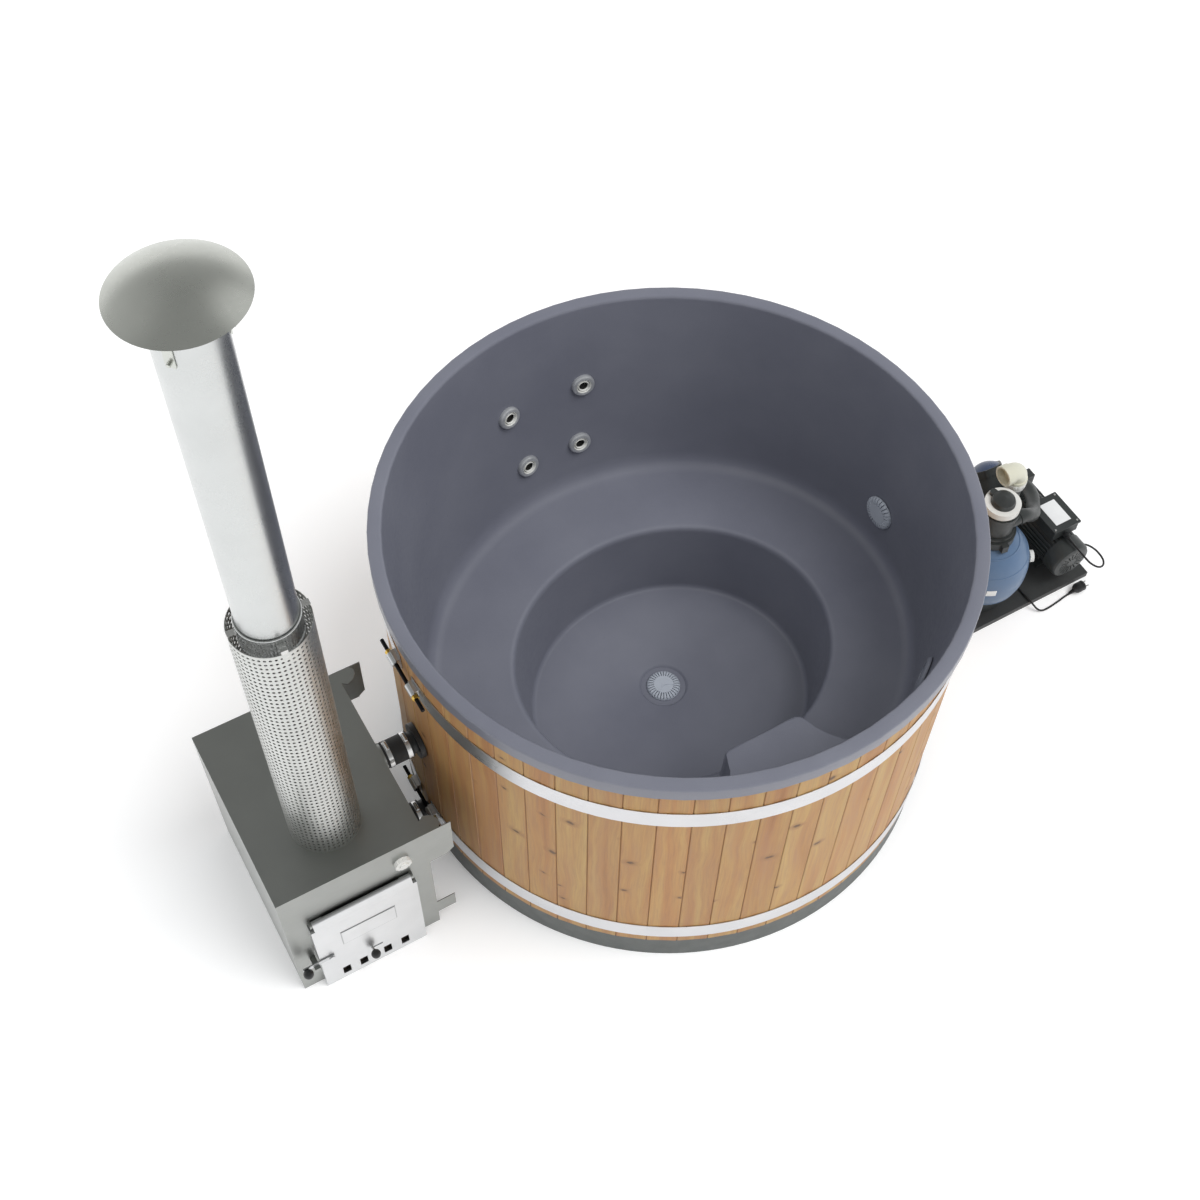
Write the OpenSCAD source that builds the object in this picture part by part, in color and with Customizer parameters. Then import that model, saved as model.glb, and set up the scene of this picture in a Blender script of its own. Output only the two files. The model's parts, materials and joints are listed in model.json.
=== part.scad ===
// Wood-fired hot tub: a moulded liner in a round wall of timber staves, an outside stove with its
// chimney on one side and a sand filter with its pump on the other. The origin is on the tub's axis
// at the ground, the stove lies towards -X with its door facing -Y, the filter towards +X.

/* [Tub] */
// Diameter over the rim
rim_d = 1800; // [1500:10:2200]
// Height from the ground to the top of the rim
tub_h = 1155; // [1000:5:1300]
// Depth of the skirt that hangs over the staves
lip_h = 50; // [30:1:80]
// Width of the flat rim
rim_w = 43; // [30:1:60]
// Thickness of the moulded liner
shell_t = 5; // [3:0.5:8]
// How far the rim stands out past the staves
rim_overhang = 17; // [12:1:30]

/* [Seat and foot well] */
// Height of the seat
seat_z = 430; // [350:5:500]
// Height of the foot well's floor
floor_z = 100; // [95:1:130]
// Width of the seat all round
bench_w = 273; // [200:1:320]
// How far the wall draws in along X from the rim down to the seat
wall_draw_x = 54; // [20:1:90]
// How far the wall draws in along Y from the rim down to the seat
wall_draw_y = 119; // [60:1:150]
// How far the well draws in along X from the seat down to the floor
well_draw_x = 48; // [20:1:80]
// How far the well draws in along Y from the seat down to the floor
well_draw_y = 24; // [10:1:60]
// Shift of the seat's outline along X
seat_shift_x = 17; // [-20:1:30]
// Shift of the seat's outline along Y
seat_shift_y = -7; // [-20:1:20]
// Shift of the well's edge along Y
well_shift_y = -15; // [-25:1:20]
// Shift of the floor's outline along X
floor_shift_x = 27; // [-20:1:35]

/* [Entry step] */
// Height of the step's top
step_z = 680; // [600:5:760]
// Width of the step at its front edge
step_w = 280; // [200:5:360]
// How deep the step's top reaches in from the wall
step_depth = 262; // [200:2:300]
// Radius of the step's front corners
step_corner = 34; // [15:1:60]

/* [Staves and hoops] */
// Number of staves
stave_n = 58; // [40:1:72]
// Thickness of a stave
stave_t = 20; // [15:1:30]
// Height of the base ring
base_h = 109; // [105:1:130]
// Width of a hoop band
hoop_w = 74; // [40:1:90]
// Thickness of a hoop band
hoop_t = 2; // [1:0.5:3]
// Drop from the top of the rim down to the lower edge of the top hoop
hoop_drop = 237; // [195:1:400]
// Height of the lower edge of the bottom hoop
hoop_low_z = 146; // [136:1:170]
// Diameter of a hoop's threaded rod
rod_d = 12; // [8:1:16]

/* [Fittings in the liner] */
// Diameter of a jet's ring
jet_d = 79; // [60:1:90]
// Diameter of a jet's ball
ball_d = 42; // [34:1:48]
// Height of the upper jets
jet_high_z = 847; // [800:1:900]
// Height of the lower jets
jet_low_z = 607; // [560:1:650]
// Diameter of the suction cover
suction_d = 118; // [90:1:140]
// Height of the suction cover
suction_z = 598; // [540:1:700]
// Diameter of the drain cover
drain_d = 115; // [90:1:130]
// Place of the drain along X
drain_x = 28; // [-30:1:60]
// Place of the drain along Y
drain_y = 40; // [0:1:60]
// Diameter of the light's ring
light_d = 120; // [90:1:130]

/* [Stove] */
// Width of the stove along X
stove_w = 471; // [420:1:560]
// Depth of the stove along Y
stove_l = 626; // [560:1:720]
// Height of the stove
stove_h = 628; // [590:1:700]
// Gap from the staves to the stove
stove_gap = 129; // [115:1:180]
// Thickness of the water jacket round the firebox
jacket_t = 45; // [30:1:60]
// Width of the door
door_w = 343; // [320:1:360]
// Height of the door
door_h = 411; // [390:1:425]
// Depth of the folded door
door_t = 28; // [24:1:40]
// Height of the hose from the stove's top outlet
hose_high_z = 587; // [560:1:590]
// Height of the hose to the stove's bottom inlet
hose_low_z = 130; // [128:1:136]
// Diameter of the stove's hose spigots
spigot_d = 72; // [50:1:76]

/* [Chimney] */
// Outside diameter of the flue pipe
flue_d = 156; // [130:1:160]
// Height of the top of the flue pipe
flue_top_z = 2740; // [2400:10:2900]
// Height of the joint in the flue pipe
flue_joint_z = 1690; // [1600:5:1750]
// Diameter of the heat guard
guard_d = 207; // [196:1:220]
// Length of the heat guard
guard_h = 1062; // [900:2:1062]
// Diameter of the rain cap
cap_d = 282; // [240:2:320]
// Gap from the flue's top up to the cap's rim
cap_gap = 50; // [40:1:70]

/* [Filter] */
// Gap from the staves to the filter's base plate
filter_gap = 177; // [120:1:200]
// Width of the base plate along X
plate_w = 598; // [590:1:640]
// Depth of the base plate along Y
plate_l = 513; // [505:1:560]
// Height of the base plate's top
plate_h = 25; // [20:1:28]
// Diameter of the sand tank
tank_d = 314; // [290:1:320]
// Diameter of the white ring on the valve
dial_d = 124; // [120:1:130]
// Diameter of the pump's motor cover
motor_d = 154; // [150:1:156]
// Diameter of the mains lead
lead_d = 7; // [6:0.5:8]

/* [Hidden] */
hoop_high_z = tub_h - hoop_drop;
$fn = 64;

// Shared clearances: an overrun for cuts, a seat between fixed pieces and a running fit
over = 2;
seat = 0.3;
run_fit = 0.06;

// Heights and radii of the liner
rim_r = rim_d/2;
wall_r = rim_r - rim_w;
rim_edge_r = 8;
wall_edge_r = 12;
cove_r = 62;
bench_edge_r = 24;
floor_edge_r = 24;
sump_r = 83;
sump_foot_r = 76;
sump_depth = 8;
sump_edge_r = 4;
drain_hole_r = 26;

// A station of the liner is an ellipse: both half axes, both shifts and its height
wall_top = [wall_r, wall_r, 0, 0, tub_h];
wall_foot = [wall_r - wall_draw_x, wall_r - wall_draw_y, seat_shift_x, seat_shift_y, seat_z];
well_top = [wall_foot[0] - bench_w, wall_foot[1] - bench_w, seat_shift_x, well_shift_y, seat_z];
well_foot = [well_top[0] - well_draw_x, well_top[1] - well_draw_y, floor_shift_x, seat_shift_y, floor_z];
sump_top = [sump_r, sump_r, drain_x, drain_y, floor_z];
sump_foot = [sump_foot_r, sump_foot_r, drain_x, drain_y, floor_z - sump_depth];
drain_edge = [drain_hole_r, drain_hole_r, drain_x, drain_y, floor_z - sump_depth];

function unit(v) = v/norm(v);
function mix(a, b, s) = a + (b - a)*s;
function at_angle(s, a) = [s[2] + s[0]*cos(a), s[3] + s[1]*sin(a), s[4]];
// The point of a station that lies at x on its -Y side, and its angle there
function at_x(s, x) = [x, s[3] - s[1]*sqrt(1 - pow((x - s[2])/s[0], 2)), s[4]];
function angle_at_x(s, x) = -acos((x - s[2])/s[0]);
function bend(a, b, c, s) = (1 - s)*(1 - s)*a + 2*s*(1 - s)*b + s*s*c;
function reach(from, to, r) = from + (to - from)*min(0.45, r/norm(to - from));
// A corner between three stations, rounded in some steps over a length r
function corner(a, b, c, r, steps) =
    [for (k = [0:steps]) bend(reach(b, a, r), b, reach(b, c, r), k/steps)];
function thicker(s, t, dz) = [s[0] + t, s[1] + t, s[2], s[3], s[4] + dz];

// One closed skin over rings of points: a loop of rings, or a stack with both ends shut
module skin(rings, looped = false) {
    n = len(rings[0]);
    m = len(rings);
    strips = looped ? m : m - 1;
    sides = [for (i = [0:strips - 1]) for (j = [0:n - 1])
        let (a = i*n + j, b = i*n + (j + 1)%n, c = ((i + 1)%m)*n + (j + 1)%n, d = ((i + 1)%m)*n + j)
        for (f = [[a, d, c], [a, c, b]]) f];
    ends = looped ? [] : [[for (j = [0:n - 1]) j], [for (j = [n - 1:-1:0]) (m - 1)*n + j]];
    polyhedron(points = [for (r = rings) for (p = r) p], faces = concat(sides, ends));
}

// The wall at a height: its ellipse, a point on it and its outward direction
function wall_at(z) = mix(wall_foot, wall_top, (z - seat_z)/(tub_h - seat_z));
function wall_point(a, z) = let (s = wall_at(z)) [s[2] + s[0]*cos(a), s[3] + s[1]*sin(a), z];
function wall_out(a, z) = let (s = wall_at(z)) unit([cos(a)/s[0], sin(a)/s[1]]);
function wall_lean(a) = let (d = (wall_top - wall_foot)/(tub_h - seat_z), n = wall_out(a, seat_z))
    atan((d[0]*cos(a) + d[2])*n[0] + (d[1]*sin(a) + d[3])*n[1]);
// Corners of the liner's section at a thickness behind its face
lip_foot = [rim_r, rim_r, 0, 0, tub_h - lip_h];
rim_corner = [rim_r, rim_r, 0, 0, tub_h];
function cove(t) = corner(thicker(wall_top, t, -t), thicker(wall_foot, t, -t), thicker(well_top, t, -t),
    cove_r + t, 5);
function bench_edge(t, steps) = corner(thicker(wall_foot, t, -t), thicker(well_top, t, -t),
    thicker(well_foot, t, -t), bench_edge_r - t, steps);

// The entry step is moulded into the -Y wall. Eleven rows of points lead from the wall down to the
// seat: on the step they cross its top and come down its front, at its foot and beyond they follow
// the wall, the cove and the seat
step_rows = 10;
step_flare = 160;
step_flare_power = 1.5;
step_side_draft = 14;
step_draft = 17;
step_bow = 6;
step_edge_r = 12;
step_edge_share = 0.29;
step_cove = 24;
step_cove_share = 0.2;
step_depth_shares = [0, 0.025, 0.09, 0.3, 0.48, 0.65, 0.82, 1 - step_edge_r/step_depth];
foot_depth_shares = [0, 0.01, 0.03, 0.1, 0.22, 0.4, 0.62, 0.8, 0.94, 1, 1];
foot_wall_shares = [0.72, 0.44];
foot_seat_shares = [0.4, 0.65, 0.85, 0.96, 1];
seat_row_shares = [0.35, 0.7, 0.97];
wall_row_share = 0.62;
column_shares = [-1.5, -1.1, -1, -0.94, -0.85, -0.6, -0.3, 0, 0.3, 0.6, 0.85, 0.94, 1, 1.1, 1.5];
outer_top_a = 25.5;
outer_low_a = 21;
rest_a = 30;
rest_n = 60;
step_top_y = wall_at(step_z)[3] - wall_at(step_z)[1];
// Half width of the step at a share of its depth, and the line of its front at a height
function step_half(d, t) = step_w/2 - t + step_flare*pow(1 - d, step_flare_power);
function step_front(s, z, t) = let (hw = step_w/2 - t, c = max(0, (abs(s)*hw - hw + step_corner)/step_corner))
    step_top_y + step_depth - t + step_draft*(step_z - z)/(step_z - seat_z) - step_bow*(1 - s*s)
    - step_corner*(1 - sqrt(1 - c*c));
function step_top_point(s, d, z, t) = let (x = s*step_half(d, t))
    [x, mix(at_x(thicker(wall_at(step_z), t, 0), x)[1], step_front(s, step_z, t), d), z - t];
function step_point(k, s, t) =
    k == 0 ? at_x(thicker(wall_at(step_z + step_cove), t, 0), s*step_half(0, t)) :
    k == 1 ? step_top_point(s, step_depth_shares[1], step_z + step_cove*step_cove_share, t) :
    k < 8 ? step_top_point(s, step_depth_shares[k], step_z, t) :
    k == 8 ? [s*step_half(1, t), step_front(s, step_z, t) - step_edge_share*step_edge_r,
        step_z - t - step_edge_share*step_edge_r] :
    k == 9 ? [s*step_half(1, t), step_front(s, step_z - step_edge_r, t), step_z - step_edge_r - t] :
    [s*step_half(1, t), step_front(s, seat_z, t), seat_z - t];
// Stations of the rows beside the step, and those at its foot, which keep abreast of its side
function beside_row(k, t) = let (c = cove(t), e = bench_edge(t, 2)[0])
    k == 0 ? thicker(wall_at(step_z + step_cove), t, 0) :
    k == 1 ? thicker(wall_at(mix(seat_z, step_z, wall_row_share)), t, 0) :
    k < 8 ? c[k - 2] : mix(c[5], e, seat_row_shares[k - 8]);
function foot_row(k, t) = k == 0 ? beside_row(0, t) :
    k < 3 ? thicker(wall_at(mix(seat_z, step_z, foot_wall_shares[k - 1])), t, 0) : cove(t)[min(5, 2*k - 5)];
function foot_point(k, side, t) = let (x = side*(step_half(foot_depth_shares[k], t) + step_side_draft),
    p = at_x(foot_row(k, t), x))
    k < 6 ? p : [x, mix(p[1], step_front(1, seat_z, t), foot_seat_shares[k - 6]), p[2]];
rest_angles = [for (i = [0:rest_n]) -90 + rest_a + i*(360 - 2*rest_a)/rest_n];
top_angles = concat([for (s = column_shares) abs(s) > 1.2 ? -90 + sign(s)*outer_top_a :
    angle_at_x(beside_row(0, 0), abs(s) > 1 ? sign(s)*(step_half(0, 0) + step_side_draft) : s*step_half(0, 0))],
    rest_angles);
low_angles = concat([for (s = column_shares) abs(s) > 1.2 ? -90 + sign(s)*outer_low_a :
    angle_at_x(bench_edge(0, 2)[0], abs(s) > 1 ? sign(s)*(step_half(1, 0) + step_side_draft) : s*step_half(1, 0))],
    rest_angles);
function ring(s, angles) = [for (a = angles) at_angle(s, a)];
function step_ring(k, t) = let (row = beside_row(k, t))
    [for (i = [0:len(top_angles) - 1]) let (s = i < len(column_shares) ? column_shares[i] : 2)
        abs(s) <= 1 ? step_point(k, s, t) : abs(s) < 1.2 ? foot_point(k, sign(s), t) :
        at_angle(row, mix(top_angles[i], low_angles[i], k/step_rows))];

// The liner's face that is seen, from the skirt's foot over the rim and down to the drain
face_rings = concat(
    [for (s = concat([lip_foot], corner(lip_foot, rim_corner, wall_top, rim_edge_r, 3),
        corner(rim_corner, wall_top, wall_foot, wall_edge_r, 3))) ring(s, top_angles)],
    [for (k = [0:step_rows]) step_ring(k, 0)],
    [for (s = concat(bench_edge(0, 5), corner(well_top, well_foot, sump_top, floor_edge_r, 4),
        corner(well_foot, sump_top, sump_foot, sump_edge_r, 1), [sump_foot, drain_edge])) ring(s, low_angles)]);
// The hidden face, one shell thickness behind it, from the drain back to the skirt
back_sump_top = thicker(sump_top, shell_t, -shell_t);
back_rings = concat(
    [for (s = concat([thicker(drain_edge, 0, -shell_t), thicker(sump_foot, shell_t, -shell_t), back_sump_top],
        corner(back_sump_top, thicker(well_foot, shell_t, -shell_t), thicker(well_top, shell_t, -shell_t),
            floor_edge_r + shell_t, 2), [for (k = [2:-1:0]) bench_edge(shell_t, 2)[k]])) ring(s, low_angles)],
    [for (k = [10, 9, 7, 6, 5, 4, 3, 2, 0]) step_ring(k, shell_t)],
    [for (s = [thicker(wall_top, shell_t, -shell_t), thicker(rim_corner, -shell_t, -shell_t),
        thicker(lip_foot, -shell_t, 0)]) ring(s, top_angles)]);

function wall_in(a, z) = let (n = wall_out(a, z), l = wall_lean(a)) [-cos(l)*n[0], -cos(l)*n[1], sin(l)];
// How far a flat ring's middle stands off the hollow wall when its edge touches
wall_bend_r = wall_foot[1]*wall_foot[1]/wall_foot[0];
function wall_lift(d) = d == 0 ? 0 : d*d/8/wall_bend_r + facet_sag;
facet_sag = wall_foot[0]*(1 - cos((180 - rest_a)/rest_n));
function seat_on_wall(a, z, d) = wall_point(a, z) + wall_lift(d)*wall_in(a, z);
// Sets its children on the wall with their Z pointing into the tub, for a ring of a given diameter
module on_wall(a, z, d = 0) {
    n = wall_out(a, z);
    translate(seat_on_wall(a, z, d)) rotate([0, wall_lean(a) - 90, atan2(n[1], n[0])]) children();
}

// Places of the jets round the +Y wall, as angles on the wall's ellipse
jets_a = 91.3;
jet_high_spread = 9.65;
jet_low_spread = 7.1;
JETS = [[jets_a + jet_high_spread, jet_high_z], [jets_a - jet_high_spread, jet_high_z],
    [jets_a + jet_low_spread, jet_low_z], [jets_a - jet_low_spread, jet_low_z]];
suction_a = 1.8;
light_a = -52.6;
light_z = 744;
jet_hole_r = ball_d/2 + 6;
suction_hole_r = 26;
light_hole_r = light_d/2 - 18;

// Staves, base and hoops
stave_r = rim_r - rim_overhang;
stave_gap = 0.4;
stave_chamfer = 3;
stave_half = stave_r*tan(180/stave_n) - stave_gap/2;
stave_corner_r = norm([stave_r, stave_half - stave_chamfer]);
stave_top_z = tub_h - shell_t - seat;
hoop_r = stave_corner_r + seat;
hoop_out_r = hoop_r + hoop_t;
tension_y = 13;
lug_gap = 76;
lug_l = 42;
lug_r = rod_d/2 + 6;
lug_h = 40;
rod_x = -(hoop_out_r + lug_r);
rod_l = 270;
nut_af = 19;
nut_t = 12;
HOOPS = [hoop_low_z, hoop_high_z];

// Stove
stove_x = -(stave_r + stove_gap + stove_w/2);
front_y = -stove_l/2;
spigot_r = spigot_d/2;
HOSES = [hose_low_z, hose_high_z];
low_pipe_r = 22;
WALL_PIPES = [[hose_low_z, low_pipe_r], [hose_high_z, spigot_r]];

module liner() color("slategray") difference() {
    skin(concat(face_rings, back_rings), true);
    for (j = JETS) on_wall(j[0], j[1]) wall_hole(jet_hole_r);
    on_wall(suction_a, suction_z) wall_hole(suction_hole_r);
    on_wall(light_a, light_z) wall_hole(light_hole_r);
    translate([-rim_r, 0, hose_high_z]) rotate([0, 90, 0]) cylinder(h = rim_w*3, r = spigot_r + seat);
    translate([-rim_r, 0, hose_low_z]) rotate([0, 90, 0]) cylinder(h = rim_r - sump_r*2, r = low_pipe_r + seat);
}
module wall_hole(r) translate([0, 0, -shell_t*4]) cylinder(h = shell_t*6, r = r + seat);

module stave() linear_extrude(stave_top_z - base_h - seat) {
    inner = stave_r - stave_t;
    half_in = inner*tan(180/stave_n) - stave_gap/2;
    polygon([[inner, -half_in], [stave_r - stave_chamfer, -stave_half],
        [stave_r, -stave_half + stave_chamfer], [stave_r, stave_half - stave_chamfer],
        [stave_r - stave_chamfer, stave_half], [inner, half_in]]);
}
module wall_staves() color("burlywood") difference() {
    translate([0, 0, base_h + seat]) for (k = [0:stave_n - 1]) rotate(180 + (k + 0.5)*360/stave_n) stave();
    for (p = WALL_PIPES) translate([-rim_r, 0, p[0]]) rotate([0, 90, 0])
        cylinder(h = rim_overhang + stave_t*2, r = p[1] + seat);
}

tray_t = 12;
drain_pipe_r = 20;
drain_pipe_z = tray_t + drain_pipe_r + 6;
module base_tray() color("dimgray") difference() {
    rotate_extrude($fn = 96) polygon([[0, 0], [stave_r - seat, 0], [stave_r - seat, base_h],
        [stave_r - stave_t, base_h], [stave_r - stave_t, tray_t], [0, tray_t]]);
    translate([-rim_r, 0, hose_low_z]) rotate([0, 90, 0])
        cylinder(h = rim_overhang + stave_t*2, r = low_pipe_r + seat);
    translate([drain_x, 0, drain_pipe_z]) rotate([-90, 0, 0]) cylinder(h = rim_r, r = drain_pipe_r + seat);
}

joist_w = 45;
joist_l = 1240;
joist_pitch = 220;
joist_top_z = floor_z - sump_depth - shell_t - seat;
module floor_joists() color("peru") difference() {
    for (k = [-1.5:1:1.5]) translate([-joist_l/2, k*joist_pitch - joist_w/2, tray_t + seat])
        cube([joist_l, joist_w, floor_z - shell_t - tray_t - 2*seat]);
    translate([drain_x, -rim_r, drain_pipe_z]) rotate([-90, 0, 0]) cylinder(h = rim_d, r = drain_pipe_r + seat);
    translate([drain_x, drain_y, joist_top_z]) cylinder(h = sump_depth*3, r = sump_r + shell_t + over);
}

module hoop_ring(z) {
    gap_a = asin((lug_gap/2)/hoop_r);
    mid_a = 180 - asin(tension_y/hoop_r);
    translate([0, 0, z]) rotate(mid_a + gap_a) rotate_extrude(angle = 360 - 2*gap_a, $fn = 128)
        translate([hoop_r, 0]) square([hoop_t, hoop_w]);
}
module hoops() color("silver") for (z = HOOPS) hoop_ring(z);

module hoop_lugs() color("gainsboro") for (z = HOOPS) for (side = [0, 1])
    translate([0, tension_y, z + hoop_w/2]) mirror([0, side, 0]) difference() {
        union() {
            translate([rod_x, lug_gap/2 + seat, 0]) rotate([-90, 0, 0]) cylinder(h = lug_l, r = lug_r);
            translate([rod_x, lug_gap/2 + seat, -lug_h/2]) cube([lug_r*2.2, lug_l, lug_h]);
        }
        translate([0, -tension_y*(1 - 2*side), -hoop_w]) cylinder(h = 2*hoop_w, r = hoop_out_r + seat, $fn = 720);
        translate([rod_x, 0, 0]) rotate([-90, 0, 0]) cylinder(h = rod_l, r = rod_d/2 + run_fit);
    }
module hoop_rods() color("black") for (z = HOOPS) translate([rod_x, tension_y - rod_l/2, z + hoop_w/2])
    rotate([-90, 0, 0]) cylinder(h = rod_l, r = rod_d/2);
module hoop_nuts() color("goldenrod") for (z = HOOPS) for (side = [0, 1])
    translate([rod_x, tension_y, z + hoop_w/2]) mirror([0, side, 0])
        translate([0, lug_gap/2 + lug_l + 2*seat, 0]) rotate([-90, 0, 0]) difference() {
            cylinder(h = nut_t, r = nut_af/sqrt(3), $fn = 6);
            translate([0, 0, -over]) cylinder(h = nut_t + 2*over, r = rod_d/2 + run_fit);
        }

// A round slotted cover: a low dome with a tail, slots round its rim and a hub in the middle
cover_h = 15;
cover_t = 3;
slot_w = 3;
module slotted_cover(d, tail_r, tail_l, slots) {
    r = d/2;
    difference() {
        rotate_extrude() {
            polygon([[tail_r - cover_t, -tail_l], [tail_r, -tail_l], [tail_r, seat], [r, seat],
                [r, cover_h*0.35], [r*0.93, cover_h*0.75], [r*0.82, cover_h*0.95], [r*0.7, cover_h],
                [0, cover_h], [0, cover_h - cover_t], [tail_r - cover_t, cover_h - cover_t]]);
        }
        for (k = [0:slots - 1]) rotate(360*k/slots) translate([r*0.58, -slot_w/2, cover_t])
            cube([r, slot_w, cover_h]);
    }
}
module suction_cover() color("lightsteelblue")
    on_wall(suction_a, suction_z, suction_d) slotted_cover(suction_d, suction_hole_r, shell_t*4, 26);

cover_rib_w = 5;
cover_rib_h = 2;
drain_slots = 30;
module drain_cover() color("lightgray") translate([drain_x, drain_y, floor_z - sump_depth]) {
    slotted_cover(drain_d, drain_hole_r - seat, shell_t*3, drain_slots);
    translate([0, 0, cover_h - seat]) {
        for (k = [0:2]) rotate(90 + 120*k) translate([0, -cover_rib_w/2, 0])
            cube([drain_d*0.3, cover_rib_w, cover_rib_h + seat]);
        cylinder(h = cover_rib_h + seat, r = cover_rib_w*1.2);
    }
}
drain_cap_l = 26;
module drain_pipe() color("whitesmoke") {
    bottom = drain_pipe_z;
    difference() {
        union() {
            translate([drain_x, drain_y, bottom]) sphere(r = drain_pipe_r);
            translate([drain_x, drain_y, bottom]) cylinder(h = floor_z - sump_depth - 4*shell_t - bottom,
                r = drain_pipe_r);
            translate([drain_x, drain_y, bottom]) rotate([-90, 0, 0])
                cylinder(h = stave_r - drain_y + drain_cap_l, r = drain_pipe_r);
        }
        translate([drain_x, drain_y, bottom]) cylinder(h = floor_z, r = drain_pipe_r - cover_t);
        translate([drain_x, drain_y, bottom]) rotate([-90, 0, 0])
            cylinder(h = stave_r - drain_y, r = drain_pipe_r - cover_t);
    }
    translate([drain_x, stave_r + seat + drain_cap_l*0.2, bottom]) rotate([-90, 0, 0])
        difference() {
            cylinder(h = drain_cap_l, r = drain_pipe_r + cover_t*2, $fn = 12);
            translate([0, 0, -over]) cylinder(h = drain_cap_l + over - cover_t, r = drain_pipe_r + run_fit);
        }
}

// Covers over the two openings of the stove's water circuit, on the -X side inside the tub
low_cover_share = (hose_low_z - floor_z)/(seat_z - floor_z);
low_cover_x = mix(well_foot[2] - well_foot[0], well_top[2] - well_top[0], low_cover_share);
well_lean = atan((well_top[0] - well_top[2] - well_foot[0] + well_foot[2])/(seat_z - floor_z));
low_cover_lift = 3.14;
module circuit_covers() color("lightsteelblue") {
    on_wall(high_cover_a, hose_high_z, high_cover_d) slotted_disc(high_cover_d, spigot_r - cover_t*2);
    translate([low_cover_x, 0, hose_low_z]) rotate([0, 90 - well_lean, 0]) translate([0, 0, low_cover_lift])
        slotted_disc(2*low_pipe_r, low_pipe_r - cover_t*2);
}
high_cover_d = spigot_d*1.5;
high_cover_a = 180 + asin(wall_at(hose_high_z)[3]/wall_at(hose_high_z)[1]);
module slotted_disc(d, tail_r) difference() {
    union() {
        translate([0, 0, seat]) cylinder(h = cover_t*2, r = d/2);
        translate([0, 0, -shell_t*3]) cylinder(h = shell_t*3 + cover_t, r = tail_r);
    }
    translate([0, 0, -shell_t*4]) cylinder(h = shell_t*4, r = tail_r - cover_t/2);
    for (k = [-3:3]) translate([k*tail_r/4 - slot_w/2, -tail_r*0.6, -over])
        cube([slot_w, tail_r*1.2, cover_t*4]);
}

// Jets: a turned ring with a ball socket, and the ball with its nozzle
jet_h = 15;
jet_tail_l = 42;
ball_r = ball_d/2;
ball_z = 3;
nozzle_r = 9;
nozzle_bore_r = 5.5;
nozzle_z = 21;
module jet_rings() color("silver") for (j = JETS) on_wall(j[0], j[1], jet_d) difference() {
    rotate_extrude() polygon([[0, -jet_tail_l], [jet_hole_r, -jet_tail_l], [jet_hole_r, seat],
        [jet_d/2, seat], [jet_d/2, jet_h*0.3], [jet_d*0.47, jet_h*0.72], [jet_d*0.40, jet_h],
        [ball_r*1.12, jet_h], [ball_r, jet_h*0.7], [0, jet_h*0.7]]);
    translate([0, 0, ball_z]) sphere(r = ball_r + run_fit);
    translate([0, 0, -jet_tail_l + cover_t]) cylinder(h = jet_tail_l, r = ball_r*0.6);
    translate([0, 0, jet_h*0.3]) cylinder(h = jet_h, r = ball_r*0.88);
    translate([0, 0, -jet_tail_l + ball_r*0.7]) rotate([0, -90, 0]) cylinder(h = jet_tail_l, r = nozzle_r);
}
module jet_ball(k) color("whitesmoke") on_wall(JETS[k][0], JETS[k][1], jet_d) difference() {
    union() {
        translate([0, 0, ball_z]) sphere(r = ball_r);
        cylinder(h = nozzle_z + ball_z, r = nozzle_r);
    }
    translate([0, 0, -ball_r]) cylinder(h = ball_r*2 + nozzle_z, r = nozzle_bore_r);
}

light_h = 12;
module light_ring() color("lightsteelblue") on_wall(light_a, light_z, light_d) rotate_extrude()
    polygon([[light_hole_r - cover_t, -shell_t*5], [light_hole_r, -shell_t*5], [light_hole_r, seat],
        [light_d/2, seat], [light_d/2, light_h*0.4], [light_d*0.46, light_h*0.85],
        [light_d*0.4, light_h], [light_hole_r - cover_t, light_h]]);
module light_lens() color("aliceblue") on_wall(light_a, light_z, light_d)
    translate([0, 0, -shell_t*5 + seat]) cylinder(h = shell_t*5 + light_h*0.7, r = light_hole_r - cover_t - seat);

// Stove body: an outer case round a firebox, with the water jacket between them
fire_w = stove_w - 2*jacket_t;
fire_z = 25;
fire_top_z = stove_h - 128;
front_t = 30;
back_t = jacket_t;
door_gap = 3;
door_x = stove_x + door_gap;
door_z = 5;
door_rim = 20;
mouth_w = door_w - 2*door_rim;
mouth_z = door_z + door_rim;
mouth_h = door_h - 2*door_rim;
flue_x = stove_x;
flue_y = front_y + 186;
flue_t = 2;
flue_r = flue_d/2;
plug_dx = 149;
plug_z = stove_h - 96;
plug_r = 26;
ledge_w = 25;
ledge_t = 4;
grate_z = 100;
hinge_r = 7.5;
knuckle_r = 10;
knuckle_l = 34;
hinge_y = front_y - knuckle_r - 0.5;
hinge_z = door_z + door_h + 21;
hinge_half = door_w/2 - 12;
ear_t = 8;
ear_r = 11;
collar_l = 8;
spigot_t = 3;
stub_l = 42;
case_x = stove_x + stove_w/2;
bracket_t = 3;
bracket_reach = 80;
bracket_z = 437;
strap_z = 68;
strap_h = 71;
tab_r = 30;
tab_d = 57;
latch_z = 205;
latch_h = 20;
latch_t = 4;
latch_x = door_x - door_w/2 + 37;
latch_reach = 84;
latch_bolt_r = 5;
face_t = 2;
face_y = front_y - seat - door_t;
latch_stop_w = 18;
latch_stop_h = 14;

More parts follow.
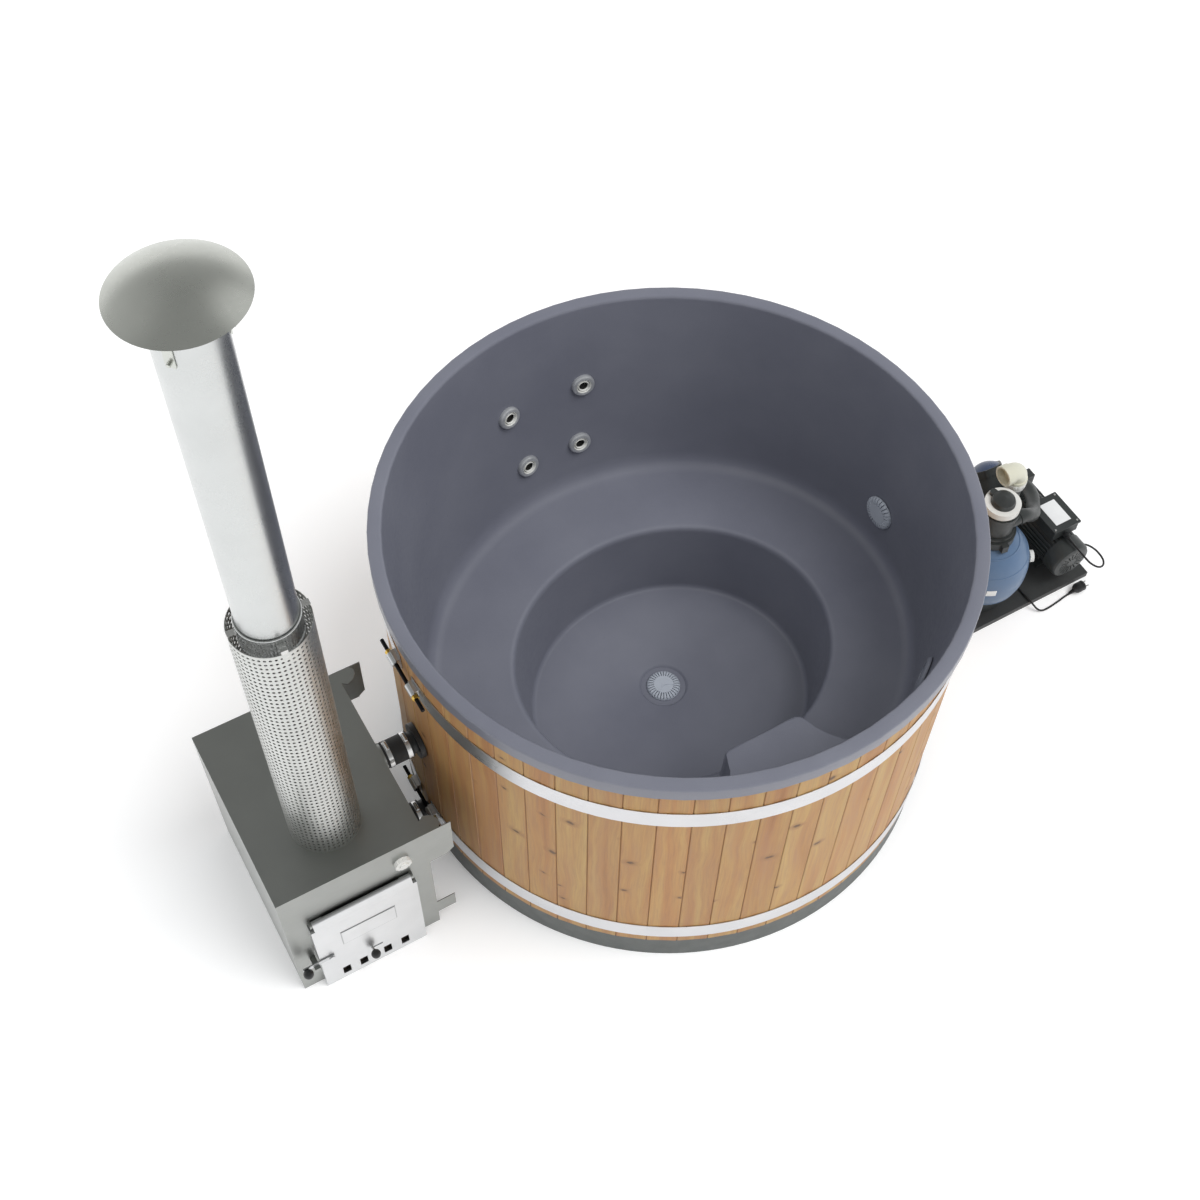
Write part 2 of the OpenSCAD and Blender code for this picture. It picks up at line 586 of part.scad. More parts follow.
module stove_body() color("gray") {
    difference() {
        translate([stove_x - stove_w/2, front_y, 0]) cube([stove_w, stove_l, stove_h]);
        translate([stove_x - fire_w/2, front_y + front_t, fire_z])
            cube([fire_w, stove_l - front_t - back_t, fire_top_z - fire_z]);
        translate([door_x - mouth_w/2, front_y - over, mouth_z]) cube([mouth_w, front_t + 2*over, mouth_h]);
        translate([flue_x, flue_y, fire_top_z - over]) cylinder(h = stove_h, r = flue_r - flue_t);
        for (z = HOSES) translate([case_x - jacket_t*0.6, 0, z]) rotate([0, 90, 0])
            cylinder(h = jacket_t, r = spigot_r - spigot_t);
        translate([stove_x + plug_dx, front_y - over, plug_z]) rotate([-90, 0, 0])
            cylinder(h = jacket_t*0.6, r = plug_r*0.7);
    }
    for (side = [-1, 1]) translate([stove_x + side*(fire_w/2 - ledge_w/2) - ledge_w/2, front_y + front_t, grate_z - ledge_t])
        cube([ledge_w, stove_l - front_t - back_t, ledge_t]);
    for (z = HOSES) translate([case_x, 0, z]) rotate([0, 90, 0]) difference() {
        union() {
            cylinder(h = collar_l, r = spigot_r + collar_l);
            cylinder(h = stub_l, r = spigot_r);
        }
        translate([0, 0, -over]) cylinder(h = stub_l + 2*over, r = spigot_r - spigot_t);
    }
    for (side = [0, 1]) mirror([0, side, 0]) side_bracket();
    for (side = [-1, 1]) translate([door_x + side*(hinge_half + ear_t/2 + seat) - ear_t/2, 0, 0]) hinge_ear();
    translate([latch_x - latch_reach*0.72, face_y - latch_t - latch_h/2, latch_z - latch_h/2 - seat - latch_stop_h])
        cube([latch_stop_w, front_y - face_y + latch_t + latch_h/2, latch_stop_h]);
}
module hinge_ear() difference() {
    union() {
        translate([0, hinge_y, hinge_z]) rotate([0, 90, 0]) cylinder(h = ear_t, r = ear_r);
        translate([0, hinge_y, hinge_z]) cube([ear_t, front_y - hinge_y, ear_r]);
    }
    translate([-over, hinge_y, hinge_z]) rotate([0, 90, 0]) cylinder(h = ear_t + 2*over, r = hinge_r + run_fit);
}
// The folded bracket and strap on the stove's side at its front edge
module side_bracket() {
    translate([case_x, front_y + bracket_t, 0]) rotate([90, 0, 0]) linear_extrude(bracket_t) {
        difference() {
            translate([0, bracket_z]) square([bracket_reach, stove_h - bracket_z]);
            translate([bracket_reach, bracket_z]) rotate(45) square([tab_r, tab_r*1.2], center = true);
        }
        translate([0, strap_z]) square([bracket_reach*0.78, strap_h]);
    }
    translate([case_x, front_y, stove_h - bracket_t]) linear_extrude(bracket_t)
        polygon([[0, 0], [bracket_reach*0.5, 0], [bracket_reach*0.66, tab_d*0.25], [bracket_reach*0.64, tab_d*0.55],
            [bracket_reach*0.47, tab_d*0.85], [bracket_reach*0.2, tab_d], [0, tab_d*0.8]]);
}

grate_bar = 10;
grate_t = 12;
grate_pitch = 24;
module grate() color("dimgray") {
    w = fire_w - 2*ledge_t;
    l = stove_l - front_t - back_t - 2*ledge_t;
    translate([stove_x - w/2, front_y + front_t + ledge_t, grate_z + seat]) {
        for (y = [0, l - ledge_w]) translate([0, y, 0]) cube([w, ledge_w, grate_t]);
        for (x = [0:grate_pitch:w - grate_bar]) translate([x, 0, 0]) cube([grate_bar, l, grate_t]);
    }
}

// Door: a folded tray with air holes, hung from two knuckles on a rod
air_w = 26;
air_h = 46;
air_z = 33;
air_shares = [-0.29, -0.121, 0.118, 0.293];
knob_x = door_x - 6;
knob_z = 118;
stud_r = 4;
slide_travel = 30;
slide_t = 2;
slide_w = 268;
slide_z = air_z - 8;
slide_h = 106;
guide_t = 4;
guide_lip = 3;
lining_t = 2;
lining_y = front_y - seat - lining_t - 6;
module air_holes(y, t) for (s = air_shares) translate([door_x + s*door_w - air_w/2, y, air_z])
    cube([air_w, t, air_h]);
module door() color("silver") {
    difference() {
        translate([door_x - door_w/2, face_y, door_z]) cube([door_w, door_t, door_h]);
        translate([door_x - door_w/2 + face_t, face_y + face_t, door_z + face_t])
            cube([door_w - 2*face_t, door_t, door_h - 2*face_t]);
        air_holes(face_y - over, face_t + 2*over);
        translate([knob_x - stud_r - seat, face_y - over, knob_z - stud_r - seat])
            cube([2*stud_r + slide_travel + 2*seat, face_t + 2*over, 2*(stud_r + seat)]);
    }
    for (z = [slide_z - seat - guide_t, slide_z + slide_h + seat])
        translate([door_x - door_w/2 + face_t, face_y + face_t, z])
            cube([door_w - 2*face_t, slide_t + 2*seat + guide_t/2, guide_t]);
    for (z = [slide_z - seat - guide_t, slide_z + slide_h + seat - guide_lip])
        translate([door_x - door_w/2 + face_t, face_y + face_t + slide_t + 2*seat, z])
            cube([door_w - 2*face_t, guide_t/2, guide_t + guide_lip]);
    for (side = [-1, 1]) translate([door_x + side*(hinge_half - knuckle_l/2) - knuckle_l/2, 0, 0]) door_knuckle();
    translate([latch_x, face_y - latch_t - 2*seat, latch_z]) rotate([-90, 0, 0])
        cylinder(h = latch_t + 2*seat + over, r = latch_bolt_r);
    translate([latch_x, face_y - latch_t - 2*seat - latch_bolt_r, latch_z]) rotate([-90, 0, 0])
        cylinder(h = latch_bolt_r, r = latch_bolt_r*1.8, $fn = 6);
}
module door_knuckle() difference() {
    union() {
        translate([0, hinge_y, hinge_z]) rotate([0, 90, 0]) cylinder(h = knuckle_l, r = knuckle_r);
        translate([0, hinge_y - knuckle_r, door_z + door_h - face_t])
            cube([knuckle_l, guide_t, hinge_z - door_z - door_h + face_t]);
    }
    translate([-over, hinge_y, hinge_z]) rotate([0, 90, 0])
        cylinder(h = knuckle_l + 2*over, r = hinge_r + run_fit);
}
module hinge_rod() color("black") translate([door_x - hinge_half - ear_t - seat, hinge_y, hinge_z]) rotate([0, 90, 0])
    cylinder(h = 2*(hinge_half + ear_t + seat), r = hinge_r);
module door_lining() color("gray") difference() {
    translate([door_x - door_w/2 + face_t + seat, lining_y, door_z + face_t + seat])
        cube([door_w - 2*(face_t + seat), lining_t, door_h - 2*(face_t + seat)]);
    translate([door_x - slide_w/2, lining_y - over, air_z]) cube([slide_w, lining_t + 2*over, air_h]);
}
module latch_lever() color("silver") difference() {
    translate([latch_x - latch_reach - latch_h/2, face_y - latch_t - seat, latch_z - latch_h/2])
        cube([latch_reach + latch_h, latch_t, latch_h]);
    translate([latch_x, face_y - latch_t*2, latch_z]) rotate([-90, 0, 0])
        cylinder(h = latch_t*3, r = latch_bolt_r + run_fit);
}
ball_knob_r = 16;
// A ball on a stud, bored for it, with its centre at the origin and the stud's side towards +Z
module ball_knob(r, bore, depth) rotate_extrude() difference() {
    circle(r = r);
    translate([-2*r, -r]) square([2*r, 2*r]);
    translate([0, depth]) square([bore, 2*r]);
    translate([0, r*0.94]) square([r, r]);
}
module latch_knob() color("black") translate([latch_x - latch_reach, face_y - latch_t - 2*seat - ball_knob_r*0.94, latch_z])
    rotate([-90, 0, 0]) ball_knob(ball_knob_r, stud_r + seat/2, 0);
stud_l = 13;
module damper_slide() color("darkgray") {
    difference() {
        translate([door_x - slide_w/2 - slide_travel/2 + over, face_y + face_t + seat, slide_z])
            cube([slide_w, slide_t, slide_h]);
        air_holes(face_y, face_t + slide_t*2);
    }
    translate([knob_x, face_y - stud_l, knob_z]) rotate([-90, 0, 0])
        cylinder(h = stud_l + face_t + 2*seat, r = stud_r);
}
damper_ball_r = 15;
module damper_knob() color("black") translate([knob_x, face_y - stud_l*0.7 - damper_ball_r, knob_z]) rotate([-90, 0, 0])
    ball_knob(damper_ball_r, stud_r + seat/2, damper_ball_r - stud_l*0.4);
plug_l = 15;
plug_flutes = 12;
module front_plug() color("whitesmoke") translate([stove_x + plug_dx, front_y, plug_z]) rotate([90, 0, 0]) {
    difference() {
        translate([0, 0, seat]) cylinder(h = plug_l, r = plug_r);
        for (k = [0:plug_flutes - 1]) rotate(360*k/plug_flutes) translate([plug_r*1.04, 0, plug_l*0.3])
            cylinder(h = plug_l, r = plug_r*0.12);
    }
    translate([0, 0, -jacket_t*0.5]) cylinder(h = jacket_t*0.5 + seat*2, r = plug_r*0.7 - seat);
    translate([0, 0, plug_l]) cylinder(h = plug_l*0.3, r = plug_r*0.55, $fn = 6);
}

// Rubber sleeves, clamps and the fittings in the tub's wall
sleeve_t = 6;
sleeve_x = case_x + collar_l + seat;
sleeve_l = stove_gap - collar_l - 32;
wall_stub_x = sleeve_x + sleeve_l*0.62;
flange_t = 17;
flange_r = spigot_r*1.6;
clamp_w = 14;
clamp_t = 1.6;
clamp_screw_r = 5;
clamp_shares = [0.16, 0.84];
module hose_sleeves() color("black") for (z = HOSES) translate([sleeve_x, 0, z]) rotate([0, 90, 0])
    tube(spigot_r + sleeve_t, spigot_r + seat, sleeve_l);
module tube(r, bore, h) difference() {
    cylinder(h = h, r = r);
    translate([0, 0, -over]) cylinder(h = h + 2*over, r = bore);
}
module hose_clamps() color("silver") for (z = HOSES) for (s = clamp_shares)
    translate([sleeve_x + s*sleeve_l - clamp_w/2, 0, z]) rotate([0, 90, 0]) {
        r = spigot_r + sleeve_t + seat;
        tube(r + clamp_t, r, clamp_w);
        translate([-r - clamp_t - clamp_screw_r, -clamp_w, clamp_w/2]) rotate([-90, 0, 0])
            cylinder(h = clamp_w*2, r = clamp_screw_r);
        translate([-r - clamp_t - clamp_screw_r, -clamp_w*0.6, clamp_w*0.1])
            cube([clamp_screw_r + clamp_t, clamp_w*1.2, clamp_w*0.8]);
    }
module wall_stubs() color("dimgray") {
    translate([wall_stub_x, 0, hose_high_z]) rotate([0, 90, 0]) difference() {
        union() {
            cylinder(h = wall_point(180, hose_high_z)[0] - spigot_r*sin(wall_lean(180)) - 2*seat - wall_stub_x,
                r = spigot_r);
            translate([0, 0, -stave_corner_r - wall_stub_x - flange_t - seat]) cylinder(h = flange_t, r = flange_r);
        }
        translate([0, 0, -over]) cylinder(h = rim_r, r = spigot_r - spigot_t);
    }
    translate([wall_stub_x, 0, hose_low_z]) rotate([0, 90, 0]) difference() {
        union() {
            cylinder(h = -hoop_out_r - lug_r - wall_stub_x, r = spigot_r);
            cylinder(h = low_cover_x - 2*shell_t - wall_stub_x, r = low_pipe_r);
        }
        translate([0, 0, -over]) cylinder(h = rim_r, r = low_pipe_r - spigot_t);
    }
}

// Chimney
flue_sleeve_z = 1652;
flue_sleeve_h = 70;
flue_sleeve_t = 2.4;
bead_r = 3;
clip_w = 18;
clip_t = 2;
clip_h = 34;
clip_angles = [-2, 88, 178, 268];
clip_r = flue_r + flue_sleeve_t + 2*seat;
module at_flue(z) translate([flue_x, flue_y, z]) children();
module flue_lower() color("silver") at_flue(stove_h + seat)
    tube(flue_r, flue_r - flue_t, flue_joint_z - stove_h - 2*seat);
module flue_sleeve() color("gainsboro") at_flue(flue_sleeve_z) {
    tube(flue_r + seat + flue_sleeve_t, flue_r + seat, flue_sleeve_h);
    for (z = [0, flue_sleeve_h]) translate([0, 0, z]) rotate_extrude()
        translate([flue_r + seat + flue_sleeve_t, 0]) intersection() {
            circle(r = bead_r);
            translate([-flue_sleeve_t/2, -bead_r]) square([bead_r*2, bead_r*2]);
        }
}
module flue_upper() color("silver") at_flue(flue_joint_z + seat)
    tube(flue_r, flue_r - flue_t, flue_top_z - flue_joint_z);
guard_t = 1.5;
guard_foot_h = 14;
guard_r = guard_d/2;
module guard() color("lightgray") at_flue(stove_h + seat) {
    tube(guard_r, guard_r - guard_t, guard_h);
    tube(guard_r + guard_t*1.6, guard_r - guard_t/2, guard_foot_h);
}
module guard_clips() color("silver") at_flue(stove_h + guard_h - clip_h*0.6) for (a = clip_angles) rotate(a)
    intersection() {
        difference() {
            translate([clip_r, -clip_w/2, 0]) cube([guard_r, clip_w, clip_h]);
            translate([0, 0, -over]) cylinder(h = clip_h*0.6 + over + 2*seat, r = guard_r + seat);
            translate([clip_r + clip_t, -clip_w, -over])
                cube([guard_r - guard_t - clip_r - 2*clip_t, clip_w*2, clip_h - clip_t + over]);
        }
        cylinder(h = clip_h, r = guard_r + clip_t + seat);
    }
cap_rise = 40;
cap_t = 2;
leg_w = 22;
leg_t = 3;
leg_angles = [-136, -16, 104];
cap_band_z = 66;
module rain_cap() color("silver") {
    r = cap_d/2;
    big = (r*r + cap_rise*cap_rise)/(2*cap_rise);
    at_flue(flue_top_z + cap_gap) difference() {
        intersection() {
            translate([0, 0, cap_rise - big]) sphere(r = big);
            cylinder(h = cap_rise + over, r = r);
        }
        translate([0, 0, cap_rise - big - cap_t]) sphere(r = big);
    }
    at_flue(flue_top_z) for (a = leg_angles) rotate(a) {
        translate([flue_r + seat, -leg_w/2, -cap_band_z]) cube([leg_t, leg_w, cap_band_z + cap_gap + cap_rise*0.675]);
        translate([flue_r + seat, 0, -cap_band_z*0.8]) rotate([0, 90, 0]) cylinder(h = leg_t*4, r = leg_t*1.6, $fn = 6);
    }
}

// Filter: the base plate, the sand tank with its valve, and the pump beside it
plate_x = stave_r + filter_gap;
plate_y = -268;
plate_t = 3;
tank_inset_x = 185;
tank_inset_y = 148;
tank_x = plate_x + tank_inset_x;
tank_y = plate_y + tank_inset_y;
tank_r = tank_d/2;
tank_z = plate_h + 17 + tank_r;
tank_belt = 24;
tank_top_z = tank_z + tank_belt + tank_r;
foot_r = 96;
foot_h = 62;
rib_r = 3;
rib_shares = [-0.42, -0.24, 0.24, 0.42];
neck_r = 62;
neck_h = 24;
clamp_r = 76;
clamp_a = -100;
valve_drop = 4;
valve_z = tank_top_z - valve_drop;
valve_r = 60;
valve_h = 139;
port_z = valve_z + 66;
port_r = 30;
port_a = 32;
port_reach = 147;
hose_port_z = valve_z + 48;
hose_port_y = tank_y - 20;
hose_port_x = tank_x + 82;
hose_r = 25;
dial_z = valve_z + valve_h;
dial_t = 30;
hub_r = 42;
hub_h = 38;

module filter_plate() color("dimgray") translate([plate_x, plate_y, 0]) difference() {
    cube([plate_w, plate_l, plate_h]);
    translate([plate_t, plate_t, -over]) cube([plate_w - 2*plate_t, plate_l - 2*plate_t, plate_h + over - plate_t]);
}
module at_tank(z) translate([tank_x, tank_y, z]) children();
module tank_foot() color("black") at_tank(plate_h + seat) difference() {
    cylinder(h = foot_h, r1 = foot_r*1.12, r2 = foot_r);
    translate([0, 0, tank_z - plate_h - seat]) sphere(r = tank_r + seat);
}
module tank() color("steelblue") at_tank(tank_z) {
    sphere(r = tank_r);
    cylinder(h = tank_belt, r = tank_r);
    translate([0, 0, tank_belt]) sphere(r = tank_r);
    translate([0, 0, tank_belt/2]) for (s = rib_shares) let (y = s*tank_d)
        translate([0, 0, y]) rotate_extrude() translate([rib_at(s) - rib_r*0.4, 0]) circle(r = rib_r);
    translate([0, 0, tank_belt + tank_r*0.8]) cylinder(h = tank_r*0.2 + neck_h - valve_drop - seat, r = neck_r);
}
function rib_at(s) = let (dz = abs(s)*tank_d - tank_belt/2) sqrt(tank_r*tank_r - dz*dz);
module tank_clamp() color("black") at_tank(tank_top_z - neck_h*0.5) difference() {
    union() {
        cylinder(h = neck_h*1.32, r = clamp_r);
        rotate(clamp_a) translate([clamp_r - neck_h/2, -neck_h/2, 0]) cube([neck_h*1.1, neck_h, neck_h*1.32]);
    }
    translate([0, 0, -over]) cylinder(h = neck_h*2, r = neck_r + seat);
    translate([0, 0, -tank_r - tank_belt - over]) cylinder(h = tank_belt, r = neck_r);
    translate([0, 0, neck_h*0.5 - tank_r]) sphere(r = tank_r + seat);
}
module valve_body() color("black") {
    at_tank(valve_z + neck_h + seat) {
        cylinder(h = valve_h - neck_h - 2*seat, r = valve_r);
        cylinder(h = neck_h*0.6, r = neck_r + 6);
        translate([0, 0, valve_h - neck_h*1.8]) cylinder(h = neck_h*0.7, r = valve_r + 6);
    }
    at_tank(port_z + seat) rotate(port_a) rotate([0, 90, 0]) cylinder(h = port_reach, r = port_r);
    at_tank(port_z + seat) rotate(port_a) translate([port_reach, 0, -port_r]) cylinder(h = 2*port_r, r = port_r);
    translate([tank_x, hose_port_y, hose_port_z]) rotate([0, 90, 0]) cylinder(h = hose_port_x - tank_x, r = hose_r - 3);
}
module dial_ring() color("white") at_tank(dial_z + seat) difference() {
    union() {
        cylinder(h = dial_t*0.6, r = dial_d/2 - 3);
        translate([0, 0, dial_t*0.2]) cylinder(h = dial_t*0.8, r = dial_d/2);
    }
    translate([0, 0, dial_t*0.5]) cylinder(h = dial_t, r = hub_r + seat);
}
handle_a = 102;
handle_reach = 46;
handle_w = 24;
handle_t = 15;
module valve_handle() color("dimgray") at_tank(dial_z + dial_t*0.5 + 2*seat) {
    rotate_extrude() polygon([[0, 0], [hub_r, 0], [hub_r, hub_h*0.55], [hub_r*0.9, hub_h*0.85],
        [hub_r*0.6, hub_h], [0, hub_h*1.15]]);
    rotate(handle_a) translate([0, -handle_w/2, dial_t*0.5 + seat]) cube([handle_reach, handle_w, handle_t]);
    rotate(handle_a) translate([handle_reach, 0, dial_t*0.5 + seat]) cylinder(h = handle_t, r = handle_w/2);
}
adapter_h = 36;
adapter_r = 31;
module at_port(z) translate([tank_x + port_reach*cos(port_a), tank_y + port_reach*sin(port_a), z]) children();
adapter_z = port_z + port_r + 2*seat;
module port_adapter() color("white") at_port(adapter_z) {
    cylinder(h = adapter_h, r = adapter_r - 3);
    cylinder(h = adapter_h*0.34, r = adapter_r + 4, $fn = 8);
    translate([0, 0, adapter_h*0.5]) cylinder(h = adapter_h*0.2, r = adapter_r);
}
elbow_r = 38;
elbow_socket_r = 43;
elbow_bore_r = 25.2;
elbow_bend_r = 42;
elbow_leg = 12;
socket_l = 30;
elbow_z = adapter_z + adapter_h + elbow_leg;
module elbow() color("ivory") at_port(0) difference() {
    union() {
        translate([0, 0, elbow_z - elbow_leg + seat]) cylinder(h = elbow_leg - seat, r = elbow_r);
        translate([0, 0, elbow_z - elbow_leg + seat]) cylinder(h = elbow_leg*0.6, r = elbow_socket_r);
        translate([-elbow_bend_r, 0, elbow_z]) rotate([90, 0, 0]) rotate_extrude(angle = 90)
            translate([elbow_bend_r, 0]) circle(r = elbow_r);
        translate([-elbow_bend_r - socket_l, 0, elbow_z + elbow_bend_r]) rotate([0, 90, 0]) cylinder(h = socket_l, r = elbow_socket_r);
    }
    translate([-elbow_bend_r - socket_l - over, 0, elbow_z + elbow_bend_r]) rotate([0, 90, 0])
        cylinder(h = socket_l + over, r = elbow_bore_r);
}
gauge_a = -25;
gauge_z = 212;
gauge_r = 22;
gauge_t = 14;
module tank_gauge() color("white") at_tank(gauge_z) rotate(gauge_a) translate([tank_r + seat, 0, 0]) rotate([0, 90, 0]) {
    cylinder(h = gauge_t, r = gauge_r*0.4);
    translate([0, 0, gauge_t*0.5]) cylinder(h = gauge_t, r = gauge_r);
}

// Pump: motor, wet end with its feet, strainer pot and outlet, all along Y
pump_inset = 497;
pump_rise = 115;
pump_x = plate_x + pump_inset;
pump_z = plate_h + pump_rise;
motor_r = motor_d/2;
motor_foot_w = 110;
motor_foot_l = 90;
motor_front_y = plate_y + 13;
cover_l = 66;
core_r = motor_r - 11;
fin_n = 30;
fin_h = 7;
motor_l = 277;
volute_y = motor_front_y + motor_l + seat;
volute_l = 84;
volute_r = 79;
outlet_dx = -30;
outlet_dy = 38;
outlet_r = 31;
outlet_z = pump_z + 92;
pot_a = 42;
pot_x = pump_x - 52;
pot_y = volute_y + 172;
pot_z = pump_z + 45;
pot_r = 52;
pot_l = 120;
pot_ring_r = 62;
pot_ring_l = 26;
pot_lid_r = 54;
pot_lid_h = 20;
// Outline of the finned motor case: each fin is a tooth on the round core
function fins(n, r, h) = [for (k = [0:n - 1]) for (p = [[0.28, r], [0.34, r + h], [0.66, r + h], [0.72, r]])
    let (a = 360*(k + p[0])/n) [p[1]*cos(a), p[1]*sin(a)]];
module along_pump(y) translate([pump_x, y, pump_z]) rotate([-90, 0, 0]) children();
module pump_foot(y, w, l) translate([pump_x - w/2, y, plate_h + seat]) {
    cube([w, l, foot_t]);
    translate([w*0.2, l*0.25, 0]) cube([w*0.6, l*0.5, pump_z - plate_h - core_r*0.7]);
}
foot_t = 10;
vent_n = 18;
vent_w = 4;
module motor() color("darkslategray") {
    difference() {
        along_pump(motor_front_y + cover_l) linear_extrude(motor_l - cover_l - foot_t)
            polygon(fins(fin_n, core_r, fin_h));
        translate([box_x + box_w*0.2 - seat, box_y + box_l*0.15 - seat, box_z - seat])
            cube([box_w*0.6 + 2*seat, box_l*0.7 + 2*seat, fin_h*2]);
    }
    along_pump(motor_front_y + motor_l - foot_t) cylinder(h = foot_t, r = motor_r);
    along_pump(motor_front_y) difference() {
        rotate_extrude() polygon([[0, 0], [motor_r*0.78, 0], [motor_r*0.93, foot_t*0.4], [motor_r, foot_t*1.4],
            [motor_r, cover_l], [0, cover_l]]);
        for (k = [0:vent_n - 1]) rotate(360*k/vent_n) translate([motor_r*0.26, -vent_w/2, -over])
            cube([motor_r*0.44, vent_w, foot_t*0.6 + over]);
    }
    pump_foot(motor_front_y + cover_l + foot_t*3, motor_foot_w, motor_foot_l);
}
module along_pot(d) translate([pot_x, pot_y, pot_z]) rotate([pot_a - 90, 0, 0]) translate([0, 0, d]) children();
module pump() color("black") {
    along_pump(volute_y) difference() {
        union() {
            cylinder(h = volute_l, r = volute_r);
            cylinder(h = foot_t, r = volute_r + 5);
        }
        translate([0, 0, -over]) cylinder(h = over, r = volute_r);
    }
    translate([pump_x + outlet_dx, volute_y + outlet_dy, pump_z]) cylinder(h = outlet_z - pump_z, r = outlet_r - 4);
    translate([pump_x + outlet_dx, volute_y + outlet_dy, outlet_z - 26]) cylinder(h = 26, r = outlet_r);
    intersection() {
        along_pot(-pot_l) cylinder(h = pot_l - seat, r = pot_r);
        translate([pump_x - 2*volute_r, volute_y + foot_t, plate_h + foot_t]) cube([4*volute_r, plate_l, 4*volute_r]);
    }
    along_pump(volute_y + volute_l*0.5) cylinder(h = volute_l, r = pot_r*0.9);
    pump_foot(volute_y + foot_t, 120, volute_l - 2*foot_t);
}
module strainer_ring() color("dimgray") along_pot(seat) difference() {
    union() {
        cylinder(h = pot_ring_l, r = pot_ring_r);
        for (k = [0:5]) rotate(60*k) translate([pot_ring_r - foot_t*0.3, -foot_t/2, 0]) cube([foot_t*0.7, foot_t, pot_ring_l]);
    }
    translate([0, 0, pot_ring_l*0.3]) cylinder(h = pot_ring_l, r = pot_lid_r + seat);
}
module strainer_lid() color("lightsteelblue") along_pot(pot_ring_l*0.3 + 2*seat) {
    big = (pot_lid_r*pot_lid_r + pot_lid_h*pot_lid_h)/(2*pot_lid_h);
    cylinder(h = pot_ring_l*0.7, r = pot_lid_r);
    translate([0, 0, pot_ring_l*0.7]) intersection() {
        translate([0, 0, pot_lid_h - big]) sphere(r = big);
        cylinder(h = pot_lid_h + over, r = pot_lid_r);
    }
}

box_x = pump_x - 52;
box_w = 110;
box_y = motor_front_y + 76;
box_l = 142;
box_z = pump_z + core_r;
box_h = 53;
box_lid_h = 9;
box_lid_rim = 4;
module terminal_box() color("darkslategray") {
    translate([box_x + box_w*0.2, box_y + box_l*0.15, box_z]) cube([box_w*0.6, box_l*0.7, fin_h + foot_t]);
    translate([box_x, box_y, box_z + fin_h + seat]) cube([box_w, box_l, box_h - box_lid_h]);
    translate([box_x - box_lid_rim, box_y - box_lid_rim, box_z + fin_h + 2*seat + box_h - box_lid_h])
        cube([box_w + 2*box_lid_rim, box_l + 2*box_lid_rim, box_lid_h]);
}
gland_x = box_x + box_w*0.44;
gland_z = box_z + fin_h + 22;
gland_l = 22;
gland_r = 10;
module gland() color("black") translate([gland_x, box_y - box_lid_rim - seat, gland_z]) rotate([90, 0, 0]) difference() {
    union() {
        translate([0, 0, -box_lid_rim]) cylinder(h = gland_l, r = gland_r*0.75);
        translate([0, 0, 0]) cylinder(h = gland_l*0.4, r = gland_r, $fn = 6);
        translate([0, 0, gland_l*0.5]) cylinder(h = gland_l*0.4, r = gland_r*0.95);
    }
    translate([0, 0, gland_l - box_lid_rim]) cylinder(h = gland_l, r = lead_d/2);
}
switch_w = 46;
switch_l = 36;
switch_h = 34;
switch_x = pump_x + 2;
switch_y = volute_y + volute_l - switch_l - 6;
switch_lead_r = 3;
module switch_box() color("black") {
    difference() {
        translate([switch_x, switch_y, pump_z + volute_r*0.75]) cube([switch_w, switch_l, volute_r*0.25 + switch_h*1.3]);
        along_pump(volute_y) cylinder(h = volute_l, r = volute_r + seat);
    }
    translate([switch_x + switch_w*0.4, switch_y + seat, pump_z + volute_r + switch_h]) rotate([90, 0, 0])
        cylinder(h = switch_y - box_y - box_l - seat*2 + seat, r = switch_lead_r);
}

// Tubes swept along a route: a smooth line through its points, with a ring of points at each step
function route_at(p, i, s) = let (a = p[max(i - 1, 0)], b = p[i], c = p[i + 1], d = p[min(i + 2, len(p) - 1)])
    0.5*(2*b + (c - a)*s + (2*a - 5*b + 4*c - d)*s*s + (3*b - a - 3*c + d)*s*s*s);
function smooth(p, step) = concat([for (i = [0:len(p) - 2]) let (n = max(1, round(norm(p[i + 1] - p[i])/step)))
    for (k = [0:n - 1]) route_at(p, i, k/n)], [p[len(p) - 1]]);
function headings(p) = let (n = len(p) - 1) [for (i = [0:n])
    i == 0 ? unit(p[1] - p[0]) : i == n ? unit(p[n] - p[n - 1]) : unit(unit(p[i + 1] - p[i]) + unit(p[i] - p[i - 1]))];
function square_to(u, t) = unit(u - (u*t)*t);
function sides_of(t, start) = [for (i = 0, u = square_to(start, t[0]); i < len(t);
    i = i + 1, u = i < len(t) ? square_to(u, t[i]) : u) u];
module swept(p, r, n, start) {
    t = headings(p);
    u = sides_of(t, start);
    skin([for (i = [0:len(p) - 1]) let (v = cross(t[i], u[i]))
        [for (k = [0:n - 1]) p[i] + r*cos(360*k/n)*u[i] + r*sin(360*k/n)*v]]);
}
function path_length(p) = let (d = [for (i = [1:len(p) - 1]) norm(p[i] - p[i - 1])]) d*[for (x = d) 1];

// The hose from the valve down to the pump's outlet
hose_step = 24;
hose_route = [[hose_port_x + seat, hose_port_y, hose_port_z], [hose_port_x + 12, hose_port_y, hose_port_z],
    [hose_port_x + 24, hose_port_y, hose_port_z],
    [hose_port_x + 56, hose_port_y + 4, hose_port_z - 24], [hose_port_x + 94, hose_port_y + 20, hose_port_z - 62],
    [hose_port_x + 130, hose_port_y + 48, hose_port_z - 98], [pump_x - 50, box_y + box_l + 6, outlet_z + 70],
    [pump_x + outlet_dx - 4, volute_y - 2, outlet_z + 62],
    [pump_x + outlet_dx, volute_y + outlet_dy - 7, outlet_z + 42],
    [pump_x + outlet_dx, volute_y + outlet_dy, outlet_z + 24],
    [pump_x + outlet_dx, volute_y + outlet_dy, outlet_z + 12], [pump_x + outlet_dx, volute_y + outlet_dy, outlet_z + seat]];
